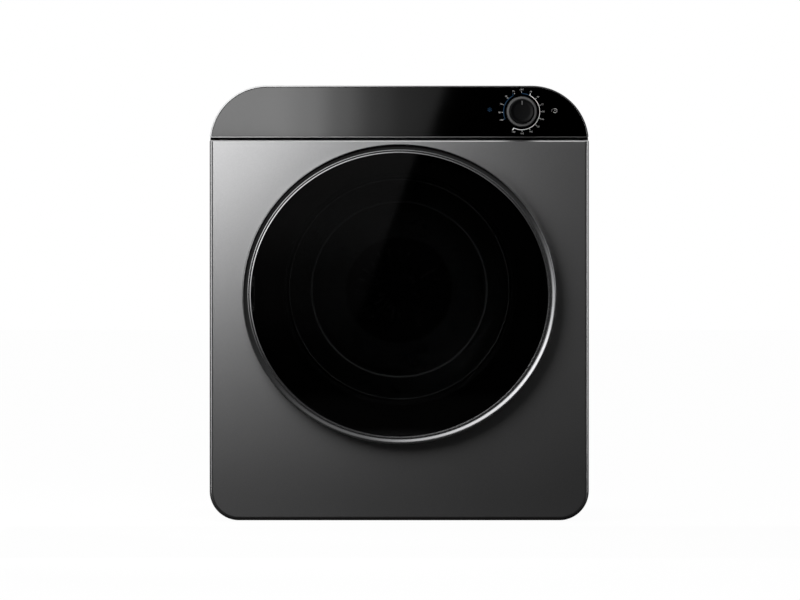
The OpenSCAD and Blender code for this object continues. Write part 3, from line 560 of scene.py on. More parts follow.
def knob_grey():
    return surface("knob_grey", (0.06, 0.06, 0.06), 0.5, mottle=0.03, grain=1500.0, relief=0.08)


def print_white():
    return surface("print_white", (0.78, 0.78, 0.78), 0.5, mottle=0.04, grain=2500.0, relief=0.1)


def print_grey():
    return surface("print_grey", (0.46, 0.46, 0.46), 0.5, mottle=0.04, grain=2500.0, relief=0.1)


def print_blue():
    return surface("print_blue", (0.007, 0.064, 0.155), 0.5, mottle=0.06, grain=2500.0, relief=0.1)


def black_glass():
    """Smoked glass that lets a little light in and out of the drum."""
    material = surface("black_glass", (0.0015, 0.0015, 0.002), 0.02, mottle=0.2, spread=0.006,
                       relief=0.002, IOR=1.5, Alpha=0.75)
    material.surface_render_method = "BLENDED"
    return material


def clear_glass():
    """Clear glass; rays from the lamps pass straight through it."""
    material = surface("clear_glass", (0.92, 0.95, 0.96), 0.03, mottle=0.01, spread=0.01, relief=0.01,
                       IOR=1.48, Transmission_Weight=1.0)
    tree = material.node_tree
    shader, out = tree.nodes["Principled BSDF"], tree.nodes["Material Output"]
    path = put(tree, "ShaderNodeLightPath")
    clear = put(tree, "ShaderNodeBsdfTransparent", {"Color": (0.9, 0.93, 0.94, 1)})
    both = put(tree, "ShaderNodeMixShader")
    tree.links.new(path.outputs["Is Shadow Ray"], both.inputs["Fac"])
    tree.links.new(shader.outputs[0], both.inputs[1])
    tree.links.new(clear.outputs[0], both.inputs[2])
    tree.links.new(both.outputs[0], out.inputs["Surface"])
    return material


def ground_glass():
    """A pale matt finish for bands on the bowl's two edges, a painted highlight that stands in for the
    lamps' glints there.
    """
    return surface("ground_glass", (0.50, 0.52, 0.53), 0.45, mottle=0.05, relief=0.05, IOR=1.48)


FINISHES = {make.__name__: make() for make in (
    titanium_paint, case_paint, rim_plastic, black_gloss, galvanised, felt, black_rubber, motor_metal,
    bright_steel, drum_steel, heater_metal, pale_plastic, dark_plastic, grey_plastic, vent_plastic,
    bronze, door_chrome, knob_black, knob_grey, black_glass, clear_glass)}
WHITE_PRINT, GREY_PRINT, BLUE_PRINT = print_white(), print_grey(), print_blue()
# Pale matt bands that paint the glints on the bowl's edges
GLINT_BAND_GLASS = ground_glass()


# Case and control panel

def front_skin():
    """The pressed front sheet with the loading mouth and the slots for hinge and catch."""
    f, inner = FACE_Y, FACE_Y + SHEET
    profile = [(10.5, f), (7.4, f)] + eased([
        (6.6, f), (5.6, f, 0.5), (3.3, f + 1.7, 0.15), (1.6, f + 5.4, 0.15), (1.6, f + 6.3)],
        closed=False, steps=5)
    profile += [(2.4, f + 6.3), (2.4, f + 5.6), (4.1, f + 2.2), (5.9, inner), (10.5, inner)]
    mouth = lambda out: circle(0, DRUM_Z, MOUTH_R + out, 180)
    rolled = [(6, f), (3, f), (1.6, f), (0.6, f + 0.3), (0, f + 0.9),
              (0, inner + 0.6), (0.7, inner + 0.6), (1.2, inner), (6, inner)]
    knuckle = square_hole(HINGE_X, DOOR_Z, *KNUCKLE_SLOT, f, inner)
    catch = square_hole(CATCH_X, CATCH_Z, *CATCH_SLOT, f, inner)
    screws = [round_hole(HINGE_SCREW_X, DOOR_Z + side * HINGE_SCREW_RISE, 2.2, f, inner, 0.15, 32)
              for side in (-1, 1)]
    bm = bmesh.new()
    pressed(bm, panel_outline, profile, [(mouth, rolled), knuckle, catch, *screws])
    finished("front_skin", bm, "cabinet", "titanium_paint", ["front_panel"])


def panel_flange():
    """The flange behind the front sheet's rounded edge, given the darker case paint as painted shade along
    the panel's outer edge.
    """
    f = FACE_Y
    profile = eased([(2.4, f + 6.2), (0, f + 6.2, 0.3), (0, SKIRT_Y, 0.2), (SHEET, SKIRT_Y, 0.2),
                     (SHEET, f + 7), (2.4, f + 7)])
    bm = bmesh.new()
    tube(bm, [loop_at(bm, panel_outline(inset), y) for inset, y in profile])
    # The darker case paint on this flange is painted shade along the front panel's edge
    finished("panel_flange", bm, "cabinet", "case_paint", ["front_panel"])


def panel_moulding():
    """The control panel's moulding, whose pale rim frames the gloss insert."""
    f, floor, inner = FACE_Y, RIM_FLOOR_Y, RIM_FLOOR_Y + MOULDING_T
    profile = [(RIM_W + 6, floor), (RIM_W + 0.5, floor)] + eased([
        (RIM_W - 0.02, floor), (RIM_W - 0.1, f, 0.4), (0.1, f, 1.2), (0, f + 2), (0, f + 6)],
        closed=False, steps=5)
    profile += [(0, SKIRT_Y - 0.3), (0.3, SKIRT_Y), (1.5, SKIRT_Y), (1.8, SKIRT_Y - 0.3),
                (1.8, floor + 3), (2.3, inner), (RIM_W + 6, inner)]
    bm = bmesh.new()
    pressed(bm, fascia_outline, profile, [round_hole(KNOB_X, KNOB_Z, SHAFT_HOLE_R, floor, inner)])
    finished("panel_moulding", bm, "cabinet", "rim_plastic", ["fascia_frame"])


def panel_insert():
    """The gloss black insert, a little lower than the rim round it."""
    y, back = INSERT_Y, RIM_FLOOR_Y
    profile = [(RIM_W + 6, y), (RIM_W + 1.2, y), (RIM_W + 0.9, y)] + eased([
        (RIM_W + 0.7, y), (RIM_W + 0.2, y, 0.35), (RIM_W + 0.2, back - 0.3)], closed=False)
    profile += [(RIM_W + 0.4, back), (RIM_W + 6, back)]
    bm = bmesh.new()
    pressed(bm, fascia_outline, profile, [round_hole(KNOB_X, KNOB_Z, SHAFT_HOLE_R, y, back)])
    finished("panel_insert", bm, "cabinet", "black_gloss", ["fascia_insert"])


def case_skin():
    """The case wrap of bent sheet, with hemmed ends."""
    y0, y1 = SKIRT_Y + 0.3, BACK_Y
    section = eased([(0, y0, 0.35), (0, y1, 0.35), (SHEET, y1, 0.35), (SHEET, y0, 0.35)])
    bm = bmesh.new()
    rings = [loop_at(bm, wrap_line(inset), y) for inset, y in section]
    tube(bm, rings, closed=False)
    for end in (0, -1):
        bm.faces.new([ring[end] for ring in rings])
    finished("case_skin", bm, "cabinet", "case_paint", ["cabinet_wrap"])


# Dial, printed on the insert; its angles run clockwise from the top

DIAL_FRONT, DIAL_BACK = INSERT_Y - 0.06, INSERT_Y + 0.03
DIAL_R = 28.4
NUMBER_R = 34.4
NUMBER_SIZE = 3.7
HEAT_STEPS = [(25, 20), (47.5, 40), (70.5, 60), (90, 80), (110.5, 100), (133, 120), (155.5, 140),
              (179, 160), (202, 180)]
COOL_STEPS = [(338, 20), (314.5, 40), (290.5, 60), (268, 80), (248, 100)]
HEAT_SIGN = (244.2, 644.6)
SNOW_SIGN = (141.9, 646.2)


def printed_arc(bm, cx, cz, r0, r1, start, end, steps=60):
    """Part of a flat ring."""
    rings = [[], [], [], []]
    section = [(r0, DIAL_FRONT), (r1, DIAL_FRONT), (r1, DIAL_BACK), (r0, DIAL_BACK)]
    for i in range(steps + 1):
        a = math.radians(start + (end - start) * i / steps)
        for ring, (r, y) in zip(rings, section):
            ring.append(bm.verts.new((cx + r * math.sin(a), y, cz + r * math.cos(a))))
    tube(bm, rings, closed=False)
    for end_ring in (0, -1):
        bm.faces.new([ring[end_ring] for ring in rings])


def printed_line(bm, ax, az, bx, bz, width):
    """A straight line from one point to another."""
    length = math.hypot(bx - ax, bz - az)
    ux, uz = (bx - ax) / length * width / 2, (bz - az) / length * width / 2
    bar(bm, [(ax - uz, az + ux), (bx - uz, bz + ux), (bx + uz, bz - ux), (ax + uz, az - ux)],
        DIAL_FRONT, DIAL_BACK)


def at_dial(angle, r):
    """A place on the dial, in X and Z."""
    a = math.radians(angle)
    return KNOB_X + r * math.sin(a), KNOB_Z + r * math.cos(a)


def dial_tick(bm, angle, inner, outer, width=0.6):
    """A mark of the scale, whose two ends are given by their distance from the scale's arc."""
    printed_line(bm, *at_dial(angle, DIAL_R + inner), *at_dial(angle, DIAL_R + outer), width)


def dial_numbers(bm, steps):
    """The scale's minutes and the off mark, upright round the knob."""
    for angle, number in steps + [(0, "OFF")]:
        words = bpy.data.curves.new("number", "FONT")
        words.body, words.size, words.extrude, words.offset = str(number), NUMBER_SIZE, 0.04, -0.05
        words.align_x, words.align_y = "CENTER", "CENTER"
        holder = bpy.data.objects.new("number", words)
        mesh = holder.to_mesh()
        x, z = at_dial(angle, NUMBER_R)
        turn = Matrix.Translation((x, DIAL_FRONT + 0.04, z)) @ Matrix.Rotation(math.pi / 2, 4, "X")
        mesh.transform(turn)
        bm.from_mesh(mesh)
        holder.to_mesh_clear()
        bpy.data.objects.remove(holder)
        bpy.data.curves.remove(words)


def heat_sign(bm):
    """An open ring with four short strokes, beside the warm scale."""
    cx, cz = HEAT_SIGN
    printed_arc(bm, cx, cz, 2.9, 3.6, -20, 240, 32)
    for ax, az, bx, bz in ((-2.4, 3.2, -0.4, 3.2), (0, 1.6, 0, -0.2), (-5.2, 1.9, -4.2, 1.9),
                           (-5.8, -0.6, -4.6, -0.6)):
        printed_line(bm, cx + ax, cz + az, cx + bx, cz + bz, 0.7)


def snow_sign(bm):
    """A six-armed snow crystal beside the cool scale."""
    cx, cz = SNOW_SIGN
    for k in range(6):
        a = math.radians(60 * k + 30)
        ux, uz = math.cos(a), math.sin(a)
        printed_line(bm, cx, cz, cx + 3.5 * ux, cz + 3.5 * uz, 0.7)
        px, pz = cx + 1.9 * ux, cz + 1.9 * uz
        for side in (-0.6, 0.6):
            printed_line(bm, px, pz, px + 1.5 * math.cos(a + side), pz + 1.5 * math.sin(a + side), 0.5)


def dial_white_print():
    """The warm scale's arc and the white marks of both scales."""
    bm = bmesh.new()
    printed_arc(bm, KNOB_X, KNOB_Z, DIAL_R - 0.5, DIAL_R + 0.5, 26, 206)
    dial_tick(bm, 26, -0.6, 3.4, 1.3)
    dial_tick(bm, 206, -0.6, 3.8, 1.5)
    for angle, _ in HEAT_STEPS[1:-1]:
        dial_tick(bm, angle, 1.0, 3.2)
    for angle, _ in COOL_STEPS:
        dial_tick(bm, angle, 1.4, 3.2)
    dial_tick(bm, 0, 1.2, 3.2)
    finished("dial_white_print", bm, "cabinet", "black_gloss", material=WHITE_PRINT)


def dial_grey_print():
    """The numbers and the warmth sign."""
    bm = bmesh.new()
    dial_numbers(bm, HEAT_STEPS + COOL_STEPS)
    heat_sign(bm)
    finished("dial_grey_print", bm, "cabinet", "black_gloss", material=GREY_PRINT)


def dial_blue_print():
    """The cool scale's two arcs and its sign."""
    bm = bmesh.new()
    printed_arc(bm, KNOB_X, KNOB_Z, DIAL_R - 0.65, DIAL_R + 0.65, 0, 22)
    printed_arc(bm, KNOB_X, KNOB_Z, DIAL_R - 0.65, DIAL_R + 0.65, 246, 334)
    dial_tick(bm, 0.8, -0.6, 1.6, 1.3)
    dial_tick(bm, 247, -0.6, 3.2, 1.3)
    dial_tick(bm, 333, -0.6, 3.4, 1.3)
    snow_sign(bm)
    finished("dial_blue_print", bm, "cabinet", "black_gloss", material=BLUE_PRINT)


# Timer knob

def knob_grip():
    """The cap with a finely ribbed side and a bore for the shaft."""
    f, back = KNOB_FRONT, KNOB_BACK
    ribs = lambda a, y: KNOB_RIB_H * math.cos(KNOB_RIBS * a) if f + 4 < y < back - 1 else 0
    profile = eased([
        (0, f + 1.5), (KNOB_R - 6.5, f + 1.1, 6), (KNOB_R - 3.4, f + 0.5, 0.6), (KNOB_R - 2.6, f, 0.5),
        (KNOB_R - 1.2, f, 0.8), (KNOB_R - 0.3, f + 1.6, 1.0), (KNOB_R - 0.2, f + 5), (KNOB_R - 0.2, f + 10),
        (KNOB_R - 0.2, back - 2), (KNOB_R, back, 0.2), (KNOB_BORE_R, back, 0.2),
        (KNOB_BORE_R, f + 3.2, 0.2), (0, f + 3.2)])
    bm = bmesh.new()
    lathe(bm, profile, KNOB_X, KNOB_Z, 432, wave=ribs)
    finished("knob_grip", bm, "timer_knob", "knob_black", ["knob_cap"])


def knob_collar():
    """The grey skirt round the cap's foot."""
    back, front = KNOB_BACK, KNOB_BACK - SKIRT_H
    profile = eased([
        (KNOB_R + 0.1, back, 0.1), (SKIRT_R, back, 0.2), (SKIRT_R, back - 3.5, 0.6),
        (SKIRT_R - 0.5, front, 1.0), (KNOB_R + 0.5, front, 0.3), (KNOB_R + 0.1, back - 6.3)])
    bm = bmesh.new()
    lathe(bm, profile, KNOB_X, KNOB_Z, 160)
    finished("knob_collar", bm, "timer_knob", "knob_grey", ["knob_skirt"])


def knob_pointer():
    """The raised mark near the cap's edge, with round ends."""
    half, low, high = 0.8, KNOB_Z + 10.6, KNOB_Z + 15.6
    points = arc(KNOB_X, low, half, 180, 360, 8) + arc(KNOB_X, high, half, 0, 180, 8)
    bm = bmesh.new()
    bar(bm, points, KNOB_FRONT + 0.45, KNOB_FRONT + 1.4)
    finished("knob_pointer", bm, "timer_knob", "knob_grey")


# Door

def ring_polished():
    """The ring's front: an inner lip, a fine groove and the domed bead outside them."""
    f, seat, dome_r, dome_middle = DOOR_FRONT, RING_SEAT, 9.4, 8.3
    dome = [(dome_middle - r * math.sin(math.radians(t)), f + r * (1 - math.cos(math.radians(t))))
            for r, turns in ((2.3, range(-40, 0, 5)), (dome_r, range(0, 49, 4))) for t in turns]
    front = eased([(RING_T, seat), (RING_W + 1.6, seat, 0.1), (RING_W + 1.6, f + 2.6, 0.2),
                   (RING_W, f + 1.7, 0.15), (RING_W - 0.2, f + 3), (RING_W - 2, f + 3),
                   (RING_W - 2.15, f + 1.3)], closed=False, steps=3)
    front += dome + [(0.6, f + 4.6), (0.6, seat)]
    bm = bmesh.new()
    tube(bm, [loop_at(bm, oval(inset, 360), y) for inset, y in front])
    finished("ring_polished", bm, "door", "door_chrome", ["door_ring"], crease=30)


def wall_turns():
    """Angles round the ring's wall, each with the Y where the wall ends; it ends early at two gaps."""
    turns = [(2 * math.pi * i / 360, RING_BACK) for i in range(360)]
    grip, knuckle = (0, GRIP_HALF_H, GRIP_Y), (math.pi, KNUCKLE_HALF_H, RING_SEAT + 0.3)
    for centre, half, end in (grip, knuckle):
        swing = math.asin(half / DOOR_RZ)
        turns = [(a, end if abs((a - centre + math.pi) % (2 * math.pi) - math.pi) < swing - 1e-4 else y)
                 for a, y in turns]
        turns += [((centre + side * (swing + step)) % (2 * math.pi), y)
                  for side in (-1, 1) for step, y in ((-1e-5, end), (1e-5, RING_BACK))]
    return sorted(turns)


def ring_wall():
    """The dark wall behind the ring's front, with gaps for the hinge and the fingers."""
    seat, bm, rings = RING_SEAT, bmesh.new(), []
    for a, end in wall_turns():
        section = [(0.2, seat), (0, seat + 0.2), (0, end - 0.1), (0.2, end), (RING_T, end), (RING_T, seat)]
        rings.append([bm.verts.new(((DOOR_RX - inset) * math.cos(a), y,
                                    DOOR_Z + (DOOR_RZ - inset) * math.sin(a))) for inset, y in section])
    tube(bm, rings)
    finished("ring_wall", bm, "door", "dark_plastic", ["door_ring"])


def smoked_pane():
    """The flat smoked pane with ground edges."""
    y0, y1, edge = GLASS_Y, GLASS_Y + GLASS_T, RING_T + 3.2
    profile = [(16, y0), (13, y0), (edge + 1, y0), (edge + 0.4, y0), (edge, y0 + 0.4), (edge, y1 - 0.4),
               (edge + 0.4, y1), (13, y1), (16, y1)]
    bm = bmesh.new()
    rings = [loop_at(bm, oval(inset), y) for inset, y in profile]
    sheath(bm, rings)
    fill(bm, [rings[0]])
    fill(bm, [rings[-1]])
    finished("smoked_pane", bm, "door", "black_glass", ["door_glass"])


def glass_bowl():
    """The blown glass bowl that reaches into the drum's mouth; its two edges carry pale matt bands, painted
    highlights in place of the lamps' glints.
    """
    base, rim, back = BOWL_BASE_Y, RING_BACK + 2.5, RING_BACK
    lean = (base - 10 - back) / (BOWL_R - BOWL_BASE_R)
    wall = lambda r: (r, back + (BOWL_R - BOWL_T - r) * lean)
    low, high = BOWL_BASE_R - 2.1, BOWL_BASE_R + 0.9
    profile = eased([
        (0, base), (BOWL_BASE_R - 30, base), (BOWL_BASE_R - 3, base, 9), (BOWL_BASE_R + 1, base - 9, 8),
        (BOWL_R, rim, 3), (BOWL_R + 12, rim, 0.8), (BOWL_R + 12, back, 0.8), (BOWL_R - BOWL_T, back, 3),
        wall(high), wall(low), (BOWL_BASE_R - BOWL_T, base - 10, 8), (BOWL_BASE_R - 9, base - BOWL_T, 7),
        (BOWL_BASE_R - 30, base - BOWL_T), (0, base - BOWL_T)], steps=6)
    bm = bmesh.new()
    lathe(bm, profile, 0, DRUM_Z, 192)
    bowl = finished("glass_bowl", bm, "door", "clear_glass", ["door_bowl"])
    bowl.data.materials.append(GLINT_BAND_GLASS)
    # Front faces at the base's and the mouth's edges take the pale matt finish, as painted highlight bands
    # for the glints
    for face in bowl.data.polygons:
        x, y, z = face.center / MM
        r = math.hypot(x, z - DRUM_Z)
        on_front = y < wall(r)[1] + 1
        at_base, at_mouth = low < r < high, BOWL_R - 5 < r < BOWL_R - 2.2
        face.material_index = int(on_front and (at_base or at_mouth))


def lip_seal():
    """The rubber seal round the bowl; its lip ends just before the front panel."""
    back, lip = RING_BACK, FACE_Y - 0.4
    profile = eased([
        (BOWL_R + 13, back, 0.3), (BOWL_R + 28, back, 0.5), (BOWL_R + 28, back + 2, 0.8),
        (BOWL_R + 25, lip, 1.0), (BOWL_R + 19.5, lip, 1.0), (BOWL_R + 17, back + 2.4, 0.8),
        (BOWL_R + 13, back + 2.4, 0.3)])
    bm = bmesh.new()
    lathe(bm, profile, 0, DRUM_Z, 192)
    finished("lip_seal", bm, "door", "black_rubber", ["door_seal"])


# Drum

def drum_skin():
    """The rolled drum with three pressed ribs."""
    outer, half, low = [(DRUM_R, DRUM_Y)], DRUM_RIB_HALF_W, DRUM_R - DRUM_RIB_DEPTH
    for middle in DRUM_RIBS:
        outer += [(DRUM_R, middle - half, 3), (low, middle - half / 3, 3), (low, middle + half / 3, 3),
                  (DRUM_R, middle + half, 3)]
    outer += [(DRUM_R, DRUM_END)]
    line = eased(outer, closed=False)
    profile = line + [(r - DRUM_T, y) for r, y in reversed(line)]
    bm = bmesh.new()
    lathe(bm, profile, 0, DRUM_Z, 240)
    finished("drum_skin", bm, "drum", "drum_steel", ["drum_shell"])


def drum_mouth():
    """The drum's dished front, which runs on the felt round the bulkhead's collar."""
    rim, throat, plate = DRUM_R - DRUM_T - 0.2, COLLAR_R + SHEET + FELT_T + 0.3, FACE_Y + 26
    profile = eased([
        (rim, DRUM_Y + 14), (rim, DRUM_Y, 3), (throat + 14, plate + 17, 5), (throat + DRUM_T, plate + 14, 2),
        (throat + DRUM_T, plate + 5), (throat, plate + 5), (throat, plate + 15, 2.4),
        (throat + 14, plate + 17 + DRUM_T, 5), (rim - DRUM_T, DRUM_Y + DRUM_T, 2.4),
        (rim - DRUM_T, DRUM_Y + 14)])
    bm = bmesh.new()
    lathe(bm, profile, 0, DRUM_Z, 240)
    finished("drum_mouth", bm, "drum", "drum_steel", ["drum_front"])


# Back

def cross_screw(bm, x, z, seat, way, head_r=4, shank_r=2, shank=5):
    """A pan head screw; way is -1 where its head faces the front and +1 where it faces the back."""
    top = seat + way * 2
    ring = lambda r, y: loop_at(bm, circle(x, z, r, 24), y)
    rings = [ring(shank_r, seat - way * shank), ring(shank_r, seat), ring(head_r, seat),
             ring(head_r, seat + way * 0.6), ring(head_r * 0.88, seat + way * 1.4),
             ring(head_r * 0.66, top), ring(head_r * 0.60, top)]
    sheath(bm, rings)
    fill(bm, [rings[0]])
    s, w = head_r * 0.5, head_r * 0.13
    cross = [(w, w), (w, s), (-w, s), (-w, w), (-s, w), (-s, -w), (-w, -w), (-w, -s), (w, -s), (w, -w),
             (s, -w), (s, w)]
    upper = loop_at(bm, [(x + a, z + b) for a, b in cross], top)
    lower = loop_at(bm, [(x + a * 0.8, z + b * 0.8) for a, b in cross], top - way * 1.2)
    bridge(bm, upper, lower)
    fill(bm, [rings[-1], upper])
    fill(bm, [lower])


def cross_screws():
    """Eight screws of the rear cover and two of the hinge bracket."""
    bm = bmesh.new()
    for i in range(8):
        a = math.radians(22.5 + 45 * i)
        cross_screw(bm, REAR_SCREW_R * math.cos(a), DRUM_Z + REAR_SCREW_R * math.sin(a),
                    BACK_Y + 0.1 + SHEET, 1)
    for side in (-1, 1):
        cross_screw(bm, HINGE_SCREW_X, DOOR_Z + side * HINGE_SCREW_RISE, FACE_Y, -1)
    finished("cross_screws", bm, "cabinet", "bright_steel", ["case_screws"])


def hose_spigot():
    """The flanged spigot, with three grooves that grip a hose."""
    start, end, r, bore_r, neck_r, flange_r = SPIGOT_START, SPIGOT_END, SPIGOT_R, 47, 49, 54
    line = [(bore_r, start, 0.3), (flange_r, start, 0.5), (flange_r, start + 2, 0.5),
            (neck_r, start + 2, 0.5), (neck_r, BACK_Y + 0.5), (r, BACK_Y + 0.6, 0.3)]
    for y in (226, 231, 236):
        line += [(r, y, 0.4), (r - 0.7, y + 0.6, 0.4), (r - 0.7, y + 1.8, 0.4), (r, y + 2.4, 0.4)]
    line += [(r, end - 2.5, 0.5), (r - 0.8, end, 0.4), (bore_r, end, 0.3)]
    bm = bmesh.new()
    lathe(bm, eased(line), SPIGOT_X, SPIGOT_Z, 128)
    finished("hose_spigot", bm, "cabinet", "vent_plastic", ["exhaust_spigot"])


def gland_bush():
    """The rubber bush in the cord's hole, empty here."""
    y, bore_r, neck_r = BACK_Y, 4.5, 8.4
    line = [(bore_r, y - 6.8, 0.3), (neck_r, y - 6.8, 0.3), (neck_r, y + 0.1), (11, y + 0.1, 0.3),
            (11, y + 1.4, 0.6), (9.4, y + 2, 0.3), (8.6, y + 4, 0.8), (bore_r, y + 4, 0.5)]
    bm = bmesh.new()
    lathe(bm, eased(line), GLAND_X, GLAND_Z, 64)
    finished("gland_bush", bm, "cabinet", "black_rubber", ["cord_gland"])


def carried_over():
    """The CAD nodes that stay take their finish by slot, and the hard ones get softened edges."""
    slots = {p["node"]: p["material_slot"] for p in frame["record"]["subparts"]}
    plain = ("drum_belt", "fan_belt", "fan_wheel", "drum_back", "filter_screen", "fan_housing")
    for name, node in frame["nodes"].items():
        node.data.materials.clear()
        node.data.materials.append(FINISHES[slots[name]])
        if node.hide_render or name in plain:
            continue
        weld = node.modifiers.new("weld", "WELD")
        weld.merge_threshold = 1e-6
        bevel = node.modifiers.new("softened", "BEVEL")
        bevel.width, bevel.segments = 0.0004, 2
        bevel.limit_method, bevel.angle_limit = "ANGLE", math.radians(40)
        bevel.use_clamp_overlap = True
        bevel.harden_normals = True


# Stage, in metres

def emission(name, strength):
    """A material that only glows, with its tree and its glow node."""
    material = bpy.data.materials.new(name)
    material.use_nodes = True
    tree = material.node_tree
    tree.nodes.remove(tree.nodes["Principled BSDF"])
    glow = put(tree, "ShaderNodeEmission", {"Strength": strength})
    tree.links.new(glow.outputs[0], tree.nodes["Material Output"].inputs["Surface"])
    return material, tree, glow


def ramp_along(tree, glow, axis, start, end, stops):
    """The glow's strength by place along a world axis; stops are (share, strength)."""
    place = put(tree, "ShaderNodeNewGeometry")
    split = put(tree, "ShaderNodeSeparateXYZ")
    share = put(tree, "ShaderNodeMapRange", {"From Min": start, "From Max": end})
    ramp = put(tree, "ShaderNodeValToRGB")
    ramp.color_ramp.interpolation = "EASE"
    points = ramp.color_ramp.elements
    peak = max(value for _, value in stops)
    while len(points) < len(stops):
        points.new(0.5)
    for point, (where, value) in zip(points, stops):
        point.position = where
        point.color = (value / peak,) * 3 + (1,)
    gain = put(tree, "ShaderNodeMath", {1: peak}, operation="MULTIPLY")
    link = tree.links.new
    link(place.outputs["Position"], split.inputs[0])
    link(split.outputs[axis], share.inputs["Value"])
    link(share.outputs["Result"], ramp.inputs["Fac"])
    link(ramp.outputs["Color"], gain.inputs[0])
    link(gain.outputs[0], glow.inputs["Strength"])


def card(name, corners, lit, strength=1.0, ramp=None):
    """A flat glowing reflector that the camera doesn't see, turned on the pieces named in lit."""
    material, tree, glow = emission(name + "_light", strength)
    if ramp:
        ramp_along(tree, glow, *ramp)
    mesh = bpy.data.meshes.new(name + "_card")
    mesh.from_pydata(corners, [], [tuple(range(len(corners)))])
    mesh.materials.append(material)
    sheet = bpy.data.objects.new(name + "_card", mesh)
    bpy.context.scene.collection.objects.link(sheet)
    sheet.visible_camera = sheet.visible_shadow = False
    group_lit = bpy.data.collections.new(name + "_card_lit")
    for piece in lit:
        group_lit.objects.link(bpy.data.objects[piece])
    sheet.light_linking.receiver_collection = group_lit


def cards():
    """What the gloss strip, the pane, the ring and the front panel's edges mirror."""
    far = -8.0
    card("strip", [(-1.1, far, 0.905), (0.093, far, 0.905), (0.173, far, 1.14), (-1.1, far, 1.14)],
         ["panel_insert"], ramp=("X", -0.44, 0.12, [
             (0.0, 5.1), (0.22, 4.1), (0.42, 2.3), (0.64, 0.95), (0.82, 0.52), (1.0, 0.42)]))
    card("glass", [(-1.1, far, 0.1), (-0.215, far, 0.1), (0.072, far, 0.895), (-1.1, far, 0.895)],
         ["smoked_pane"], ramp=("Z", 0.15, 0.90, [(0.0, 0.0), (0.35, 0.034), (0.7, 0.115), (1.0, 0.16)]))
    low = 0.004
    card("floor", [(-0.6, -1.1, low), (0.5, -1.1, low), (1.3, -1.8, low), (1.3, -0.34, low),
                   (-0.6, -0.34, low)], ["ring_polished"], ramp=("X", -0.5, 0.5, [
                       (0.0, 0.04), (0.42, 0.18), (0.56, 0.75), (0.70, 1.25), (1.0, 1.6)]))
    card("side", [(1.3, -2.4, 0.0), (1.3, -0.5, 0.0), (1.3, -0.5, 1.1), (1.3, -2.4, 1.1)],
         ["ring_polished"], ramp=("Z", 0.0, 1.1, [(0.0, 1.1), (0.32, 0.7), (0.6, 0.2), (1.0, 0.03)]))
    card("room", [(-9, -8.5, 0.01), (9, -8.5, 0.01), (9, -8.5, 9), (-9, -8.5, 9)],
         ["ring_polished", "front_skin"], strength=0.022)
    card("top", [(-1.6, -1.0, 2.0), (1.6, -1.0, 2.0), (1.6, 0.3, 2.0), (-1.6, 0.3, 2.0)],
         ["front_skin", "panel_moulding"], strength=1.6)


def lamp(name, place, target, size, power, unlit=(), lit=()):
    """A round soft light that leaves out the pieces in unlit, or lights only those in lit."""
    light = bpy.data.lights.new(name, "AREA")
    light.shape, light.size, light.energy = "DISK", size, power
    holder = bpy.data.objects.new(name, light)
    holder.location = place
    holder.rotation_mode = "QUATERNION"
    holder.rotation_quaternion = (Vector(target) - Vector(place)).to_track_quat("-Z", "Y")
    holder.visible_camera = False
    bpy.context.scene.collection.objects.link(holder)
    linked = bpy.data.collections.new(name + "_linked")
    for piece in unlit or lit:
        linked.objects.link(bpy.data.objects[piece])
    for entry in linked.collection_objects:
        entry.light_linking.link_state = "EXCLUDE" if unlit else "INCLUDE"
    holder.light_linking.receiver_collection = linked


def lamps():
    """A key from the upper left and a fill ahead; others serve the inside, the case's edges and
    the bowl."""
    inside = ["drum_skin", "drum_mouth", "drum_back", "drum_spider", "lifter_1", "lifter_2", "lifter_3",
              "filter_cover", "filter_screen", "glass_bowl", "lip_seal", "rear_bulkhead", "front_bulkhead",
              "drum_felt"]
    mirrors = ["ring_polished", "panel_insert", "smoked_pane"]
    keyed = ["front_skin", "panel_flange", "panel_moulding", "case_skin", "knob_grip", "dial_blue_print"]
    edges = ["front_skin", "panel_moulding"]
    middle, ahead = (0.0, -0.22, 0.36), (0.3, -4.5, 1.2)
    lamp("key", (-0.495, -0.951, 0.843), (0.0, -0.22, 0.40), 1.0, 6.1, mirrors + inside)
    lamp("fill", ahead, middle, 1.6, 70.0, mirrors + inside + keyed)
    lamp("inner", ahead, middle, 1.6, 5.0, lit=inside + ["case_skin"])
    lamp("edge_left", (-3.0, 1.8, 0.4), middle, 1.5, 6.7, lit=edges)
    lamp("edge_right", (3.0, 1.8, 0.4), middle, 1.5, 6.7, lit=edges)
    lamp("bowl_left", (-0.8, -1.4, 1.15), middle, 1.3, 90.0, lit=["glass_bowl"])
    lamp("bowl_right", (1.5, -1.5, 0.75), middle, 0.8, 50.0, lit=["glass_bowl"])


def white_surround():
    """White to the camera; as light, white behind the object and dark in front of it."""
    world = bpy.data.worlds.new("surround")
    bpy.context.scene.world = world
    world.use_nodes = True
    tree = world.node_tree
    glow = tree.nodes["Background"]
    link = tree.links.new
    place = put(tree, "ShaderNodeTexCoord")
    split = put(tree, "ShaderNodeSeparateXYZ")
    behind = put(tree, "ShaderNodeMapRange", {"From Min": 0.0, "From Max": 0.4, "To Min": 0.004,
                                              "To Max": 1.0}, interpolation_type="SMOOTHSTEP")
    path = put(tree, "ShaderNodeLightPath")
    seen = put(tree, "ShaderNodeMath", operation="MAXIMUM")
    link(place.outputs["Generated"], split.inputs[0])
    link(split.outputs["Y"], behind.inputs["Value"])
    link(behind.outputs["Result"], seen.inputs[0])
    link(path.outputs["Is Camera Ray"], seen.inputs[1])
    link(seen.outputs[0], glow.inputs["Strength"])
    glow.inputs["Color"].default_value = (1, 1, 1, 1)


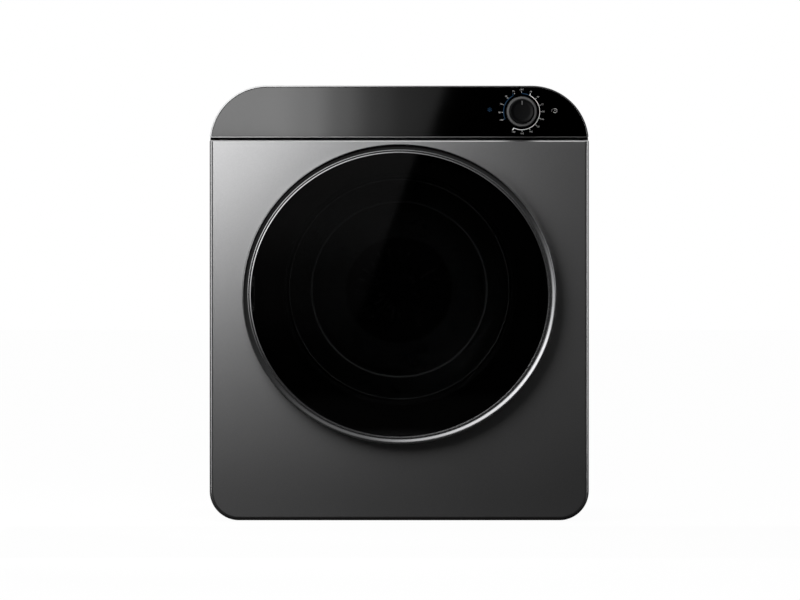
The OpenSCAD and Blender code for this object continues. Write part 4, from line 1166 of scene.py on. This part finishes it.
def pale_floor():
    """A floor that is white to the camera, with a soft shadow, and dark to everything else."""
    reach = 40
    corners = [(x, y, 0) for x, y in rectangle(-reach, -reach, reach, reach)]
    mesh = bpy.data.meshes.new("floor")
    mesh.from_pydata(corners, [], [(0, 1, 2, 3)])
    floor = bpy.data.objects.new("floor", mesh)
    bpy.context.scene.collection.objects.link(floor)
    material = surface("floor_paint", (0.05, 0.05, 0.05), 0.9, mottle=0.0, relief=0.0,
                       Specular_IOR_Level=0.0)
    mesh.materials.append(material)
    tree = material.node_tree
    shader, out = tree.nodes["Principled BSDF"], tree.nodes["Material Output"]
    pale = put(tree, "ShaderNodeBsdfDiffuse", {"Color": (0.8, 0.8, 0.8, 1)})
    glow = put(tree, "ShaderNodeEmission", {"Strength": 1.04})
    shown = put(tree, "ShaderNodeMixShader", {"Fac": 0.93})
    path = put(tree, "ShaderNodeLightPath")
    both = put(tree, "ShaderNodeMixShader")
    link = tree.links.new
    link(pale.outputs[0], shown.inputs[1])
    link(glow.outputs[0], shown.inputs[2])
    link(path.outputs["Is Camera Ray"], both.inputs["Fac"])
    link(shader.outputs[0], both.inputs[1])
    link(shown.outputs[0], both.inputs[2])
    link(both.outputs[0], out.inputs["Surface"])


def camera():
    """A long lens straight ahead of the front panel, a millimetre right of the case's middle."""
    distance = 6.272
    lens = bpy.data.cameras.new("camera")
    lens.lens, lens.sensor_width = 180, 36
    lens.clip_end = 100
    holder = bpy.data.objects.new("camera", lens)
    holder.location = (0.0012, FACE_Y * MM - distance, 0.3477)
    holder.rotation_euler = (math.pi / 2, 0, 0)
    bpy.context.scene.collection.objects.link(holder)
    bpy.context.scene.camera = holder


camera()
front_skin()
panel_flange()
panel_moulding()
panel_insert()
case_skin()
dial_white_print()
dial_grey_print()
dial_blue_print()
knob_grip()
knob_collar()
knob_pointer()
ring_polished()
ring_wall()
smoked_pane()
glass_bowl()
lip_seal()
drum_skin()
drum_mouth()
cross_screws()
hose_spigot()
gland_bush()
carried_over()
white_surround()
pale_floor()
cards()
lamps()
bpy.context.scene.view_settings.view_transform = "Standard"
